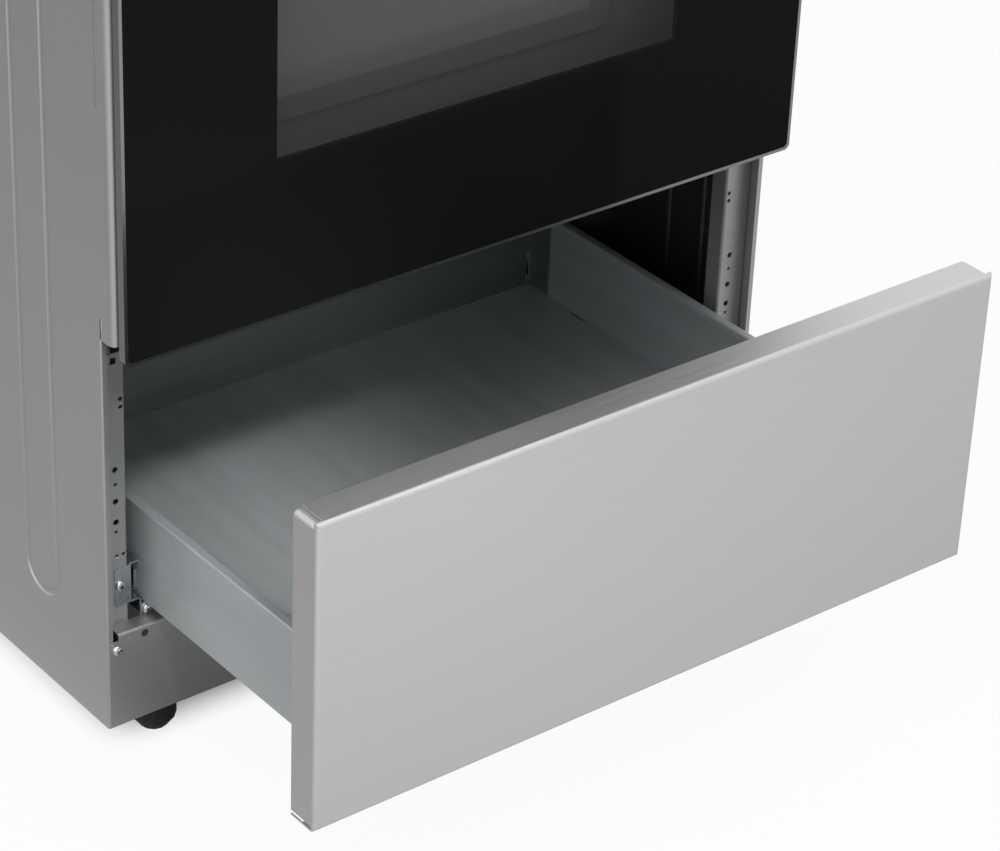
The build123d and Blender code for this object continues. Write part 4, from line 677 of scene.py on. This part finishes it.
# Floor: a pale seamless sheet that keeps a faint shadow under the range. Metal and glass
# see it dimmer close to the range, on its left, far to its right and below the drawer.
sheet_size = 14
floor_mesh = bmesh.new()
bmesh.ops.create_grid(floor_mesh, x_segments=1, y_segments=1, size=sheet_size)
floor_data = bpy.data.meshes.new("floor")
floor_mesh.to_mesh(floor_data)
floor_mesh.free()
floor = bpy.data.objects.new("floor", floor_data)
bpy.context.scene.collection.objects.link(floor)
floor_paper = finish("floor_paper", (0.8, 0.8, 0.8), 0, 0.9)
paper_tree = floor_paper.node_tree
paper_shader = paper_tree.nodes["Principled BSDF"]
paper_shader.inputs["Specular IOR Level"].default_value = 0
paper_white = paper_tree.nodes.new("ShaderNodeEmission")
paper_share = paper_tree.nodes.new("ShaderNodeMixShader")
paper_path = paper_tree.nodes.new("ShaderNodeLightPath")


def reckoned(operation, left, right=0):
    """A sum on the floor's nodes, from values or plain numbers."""
    return tested(floor_paper, operation, left, right)


def faded(value, start, end, low, high):
    """A value that goes smoothly from low at start to high at end."""
    span = paper_tree.nodes.new("ShaderNodeMapRange")
    span.interpolation_type = "SMOOTHSTEP"
    for socket, number in zip(span.inputs[1:5], (start, end, low, high)):
        socket.default_value = number
    paper_tree.links.new(value, span.inputs["Value"])
    return span.outputs["Result"]


floor_axes = split(floor_paper, "Object")
floor_x = floor_axes["X"]
floor_y = floor_axes["Y"]
camera_ray = paper_path.outputs["Is Camera Ray"]
white_share = 0.95
edge_fade = 0.06
left_fade = 0.06
beside_before, beside_after = 0.06, 0.12
left_far_x, left_near_x = -1.2, -0.5
left_far_loss, left_near_loss = 0.58, 0.28
front_far_y = -1.1
drawer_level = 0.72
right_far_x = 1
right_far_level = 0.82
below_left_span = (-0.34, -0.2)
below_right_span = (0.26, 0.36)
below_front_fade = 0.08
below_back_fade = 0.1
below_level = 0.12
under_x = faded(reckoned("ABSOLUTE", floor_x), cabinet_side - edge_fade, cabinet_side, 1, 0)
under_front = faded(floor_y, plinth_face, plinth_face + edge_fade, 0, 1)
under_back = faded(floor_y, cabinet_back - edge_fade, cabinet_back, 1, 0)
under_range = reckoned("MULTIPLY", reckoned("MULTIPLY", under_x, under_front), under_back)
mirror_ray = reckoned(
    "MAXIMUM", paper_path.outputs["Is Glossy Ray"], paper_path.outputs["Is Transmission Ray"]
)
seen_white = reckoned("MAXIMUM", mirror_ray, camera_ray)
paper_seen = reckoned("MULTIPLY", reckoned("SUBTRACT", 1.0, under_range), seen_white)
paper_tree.links.new(reckoned("MULTIPLY", paper_seen, white_share), paper_share.inputs["Fac"])
drawer_front_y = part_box("drawer_front")[0][1]
left_side = faded(floor_x, -cabinet_side - left_fade, -cabinet_side, 1, 0)
beside_range = faded(floor_y, drawer_front_y - beside_before, drawer_front_y + beside_after, 0, 1)
left_loss = faded(floor_x, left_far_x, left_near_x, left_far_loss, left_near_loss)
left_share = reckoned("MULTIPLY", left_side, beside_range)
left_level = reckoned("SUBTRACT", 1.0, reckoned("MULTIPLY", left_share, left_loss))
near_front = faded(floor_y, front_far_y, drawer_front_y, 1, drawer_level)
far_right = faded(floor_x, 0, right_far_x, 1, right_far_level)
far_level = reckoned("MULTIPLY", near_front, far_right)
below_left = faded(floor_x, *below_left_span, 0, 1)
below_right = faded(floor_x, *below_right_span, 1, 0)
below_x = reckoned("MULTIPLY", below_left, below_right)
below_front = faded(floor_y, drawer_front_y, drawer_front_y + below_front_fade, 0, 1)
below_back = faded(floor_y, plinth_face, plinth_face + below_back_fade, 1, 0)
below_y = reckoned("MULTIPLY", below_front, below_back)
below_drawer = faded(reckoned("MULTIPLY", below_x, below_y), 0, 1, 1, below_level)
mirrored_level = reckoned("MULTIPLY", reckoned("MULTIPLY", left_level, far_level), below_drawer)
camera_only = reckoned("MULTIPLY", camera_ray, reckoned("SUBTRACT", 1.0, mirrored_level))
paper_tree.links.new(reckoned("ADD", mirrored_level, camera_only), paper_white.inputs["Strength"])
paper_tree.links.new(paper_shader.outputs["BSDF"], paper_share.inputs[1])
paper_tree.links.new(paper_white.outputs["Emission"], paper_share.inputs[2])
paper_tree.links.new(paper_share.outputs["Shader"], paper_tree.nodes["Material Output"].inputs["Surface"])
floor_data.materials.append(floor_paper)

# Studio: an even white room, seen white by the camera and in metal and glass, with one
# large soft lamp overhead, another on the left and a weak narrow beam into the drawer.
room_glow, room_white = 0.6, 1
room = bpy.data.worlds.new("room")
room.use_nodes = True
bpy.context.scene.world = room
room_tree = room.node_tree
room_light = room_tree.nodes["Background"]
room_light.inputs["Color"].default_value = (1, 1, 1, 1)
room_path = room_tree.nodes.new("ShaderNodeLightPath")
mirrored = tested(
    room, "MAXIMUM", room_path.outputs["Is Glossy Ray"], room_path.outputs["Is Transmission Ray"]
)
seen = tested(room, "MAXIMUM", mirrored, room_path.outputs["Is Camera Ray"])
room_level = room_tree.nodes.new("ShaderNodeMapRange")
room_level.inputs["To Min"].default_value = room_glow
room_level.inputs["To Max"].default_value = room_white
room_tree.links.new(seen, room_level.inputs["Value"])
room_tree.links.new(room_level.outputs["Result"], room_light.inputs["Strength"])


def softbox(name, place, aim, size, power, spread=180):
    """A square soft lamp that points at a place, with its beam's spread in degrees."""
    lamp = bpy.data.lights.new(name, "AREA")
    lamp.shape = "SQUARE"
    lamp.size = size
    lamp.energy = power
    lamp.spread = math.radians(spread)
    holder = bpy.data.objects.new(name, lamp)
    holder.location = place
    holder.rotation_euler = (Vector(aim) - Vector(place)).to_track_quat("-Z", "Y").to_euler()
    bpy.context.scene.collection.objects.link(holder)


softbox("top_lamp", place=(-0.3, -0.9, 3.2), aim=(0, -0.35, 0.3), size=2.0, power=24)
softbox(
    "tray_lamp", place=(-0.5, -1.08, 1.22), aim=(-0.13, -0.21, 0.12), size=0.2, power=0.13, spread=12
)
softbox("left_lamp", place=(-2.6, -1.4, 1.8), aim=(0, 0, 0.4), size=3.2, power=24)

# Camera: set at the photograph's viewpoint, in front, to the left and above, with a long
# lens and a small roll.
camera_place = (-1.3905, -2.0410, 1.5285)
camera_angles = (39.15, 30.82, 2.47)
film_width = 36
focal_length = 127.03
yaw, pitch, roll = (math.radians(angle) for angle in camera_angles)
forward = Vector((math.sin(yaw) * math.cos(pitch), math.cos(yaw) * math.cos(pitch), -math.sin(pitch)))
level_right = Vector((math.cos(yaw), -math.sin(yaw), 0))
level_up = level_right.cross(forward)
right = math.cos(roll) * level_right + math.sin(roll) * level_up
up = right.cross(forward)
lens = bpy.data.cameras.new("camera")
lens.sensor_fit = "HORIZONTAL"
lens.sensor_width = film_width
lens.lens = focal_length
camera = bpy.data.objects.new("camera", lens)
turn = Matrix((right, up, -forward)).transposed().to_4x4()
camera.matrix_world = Matrix.Translation(camera_place) @ turn
bpy.context.scene.collection.objects.link(camera)
bpy.context.scene.camera = camera

bpy.context.scene.view_settings.view_transform = "Standard"
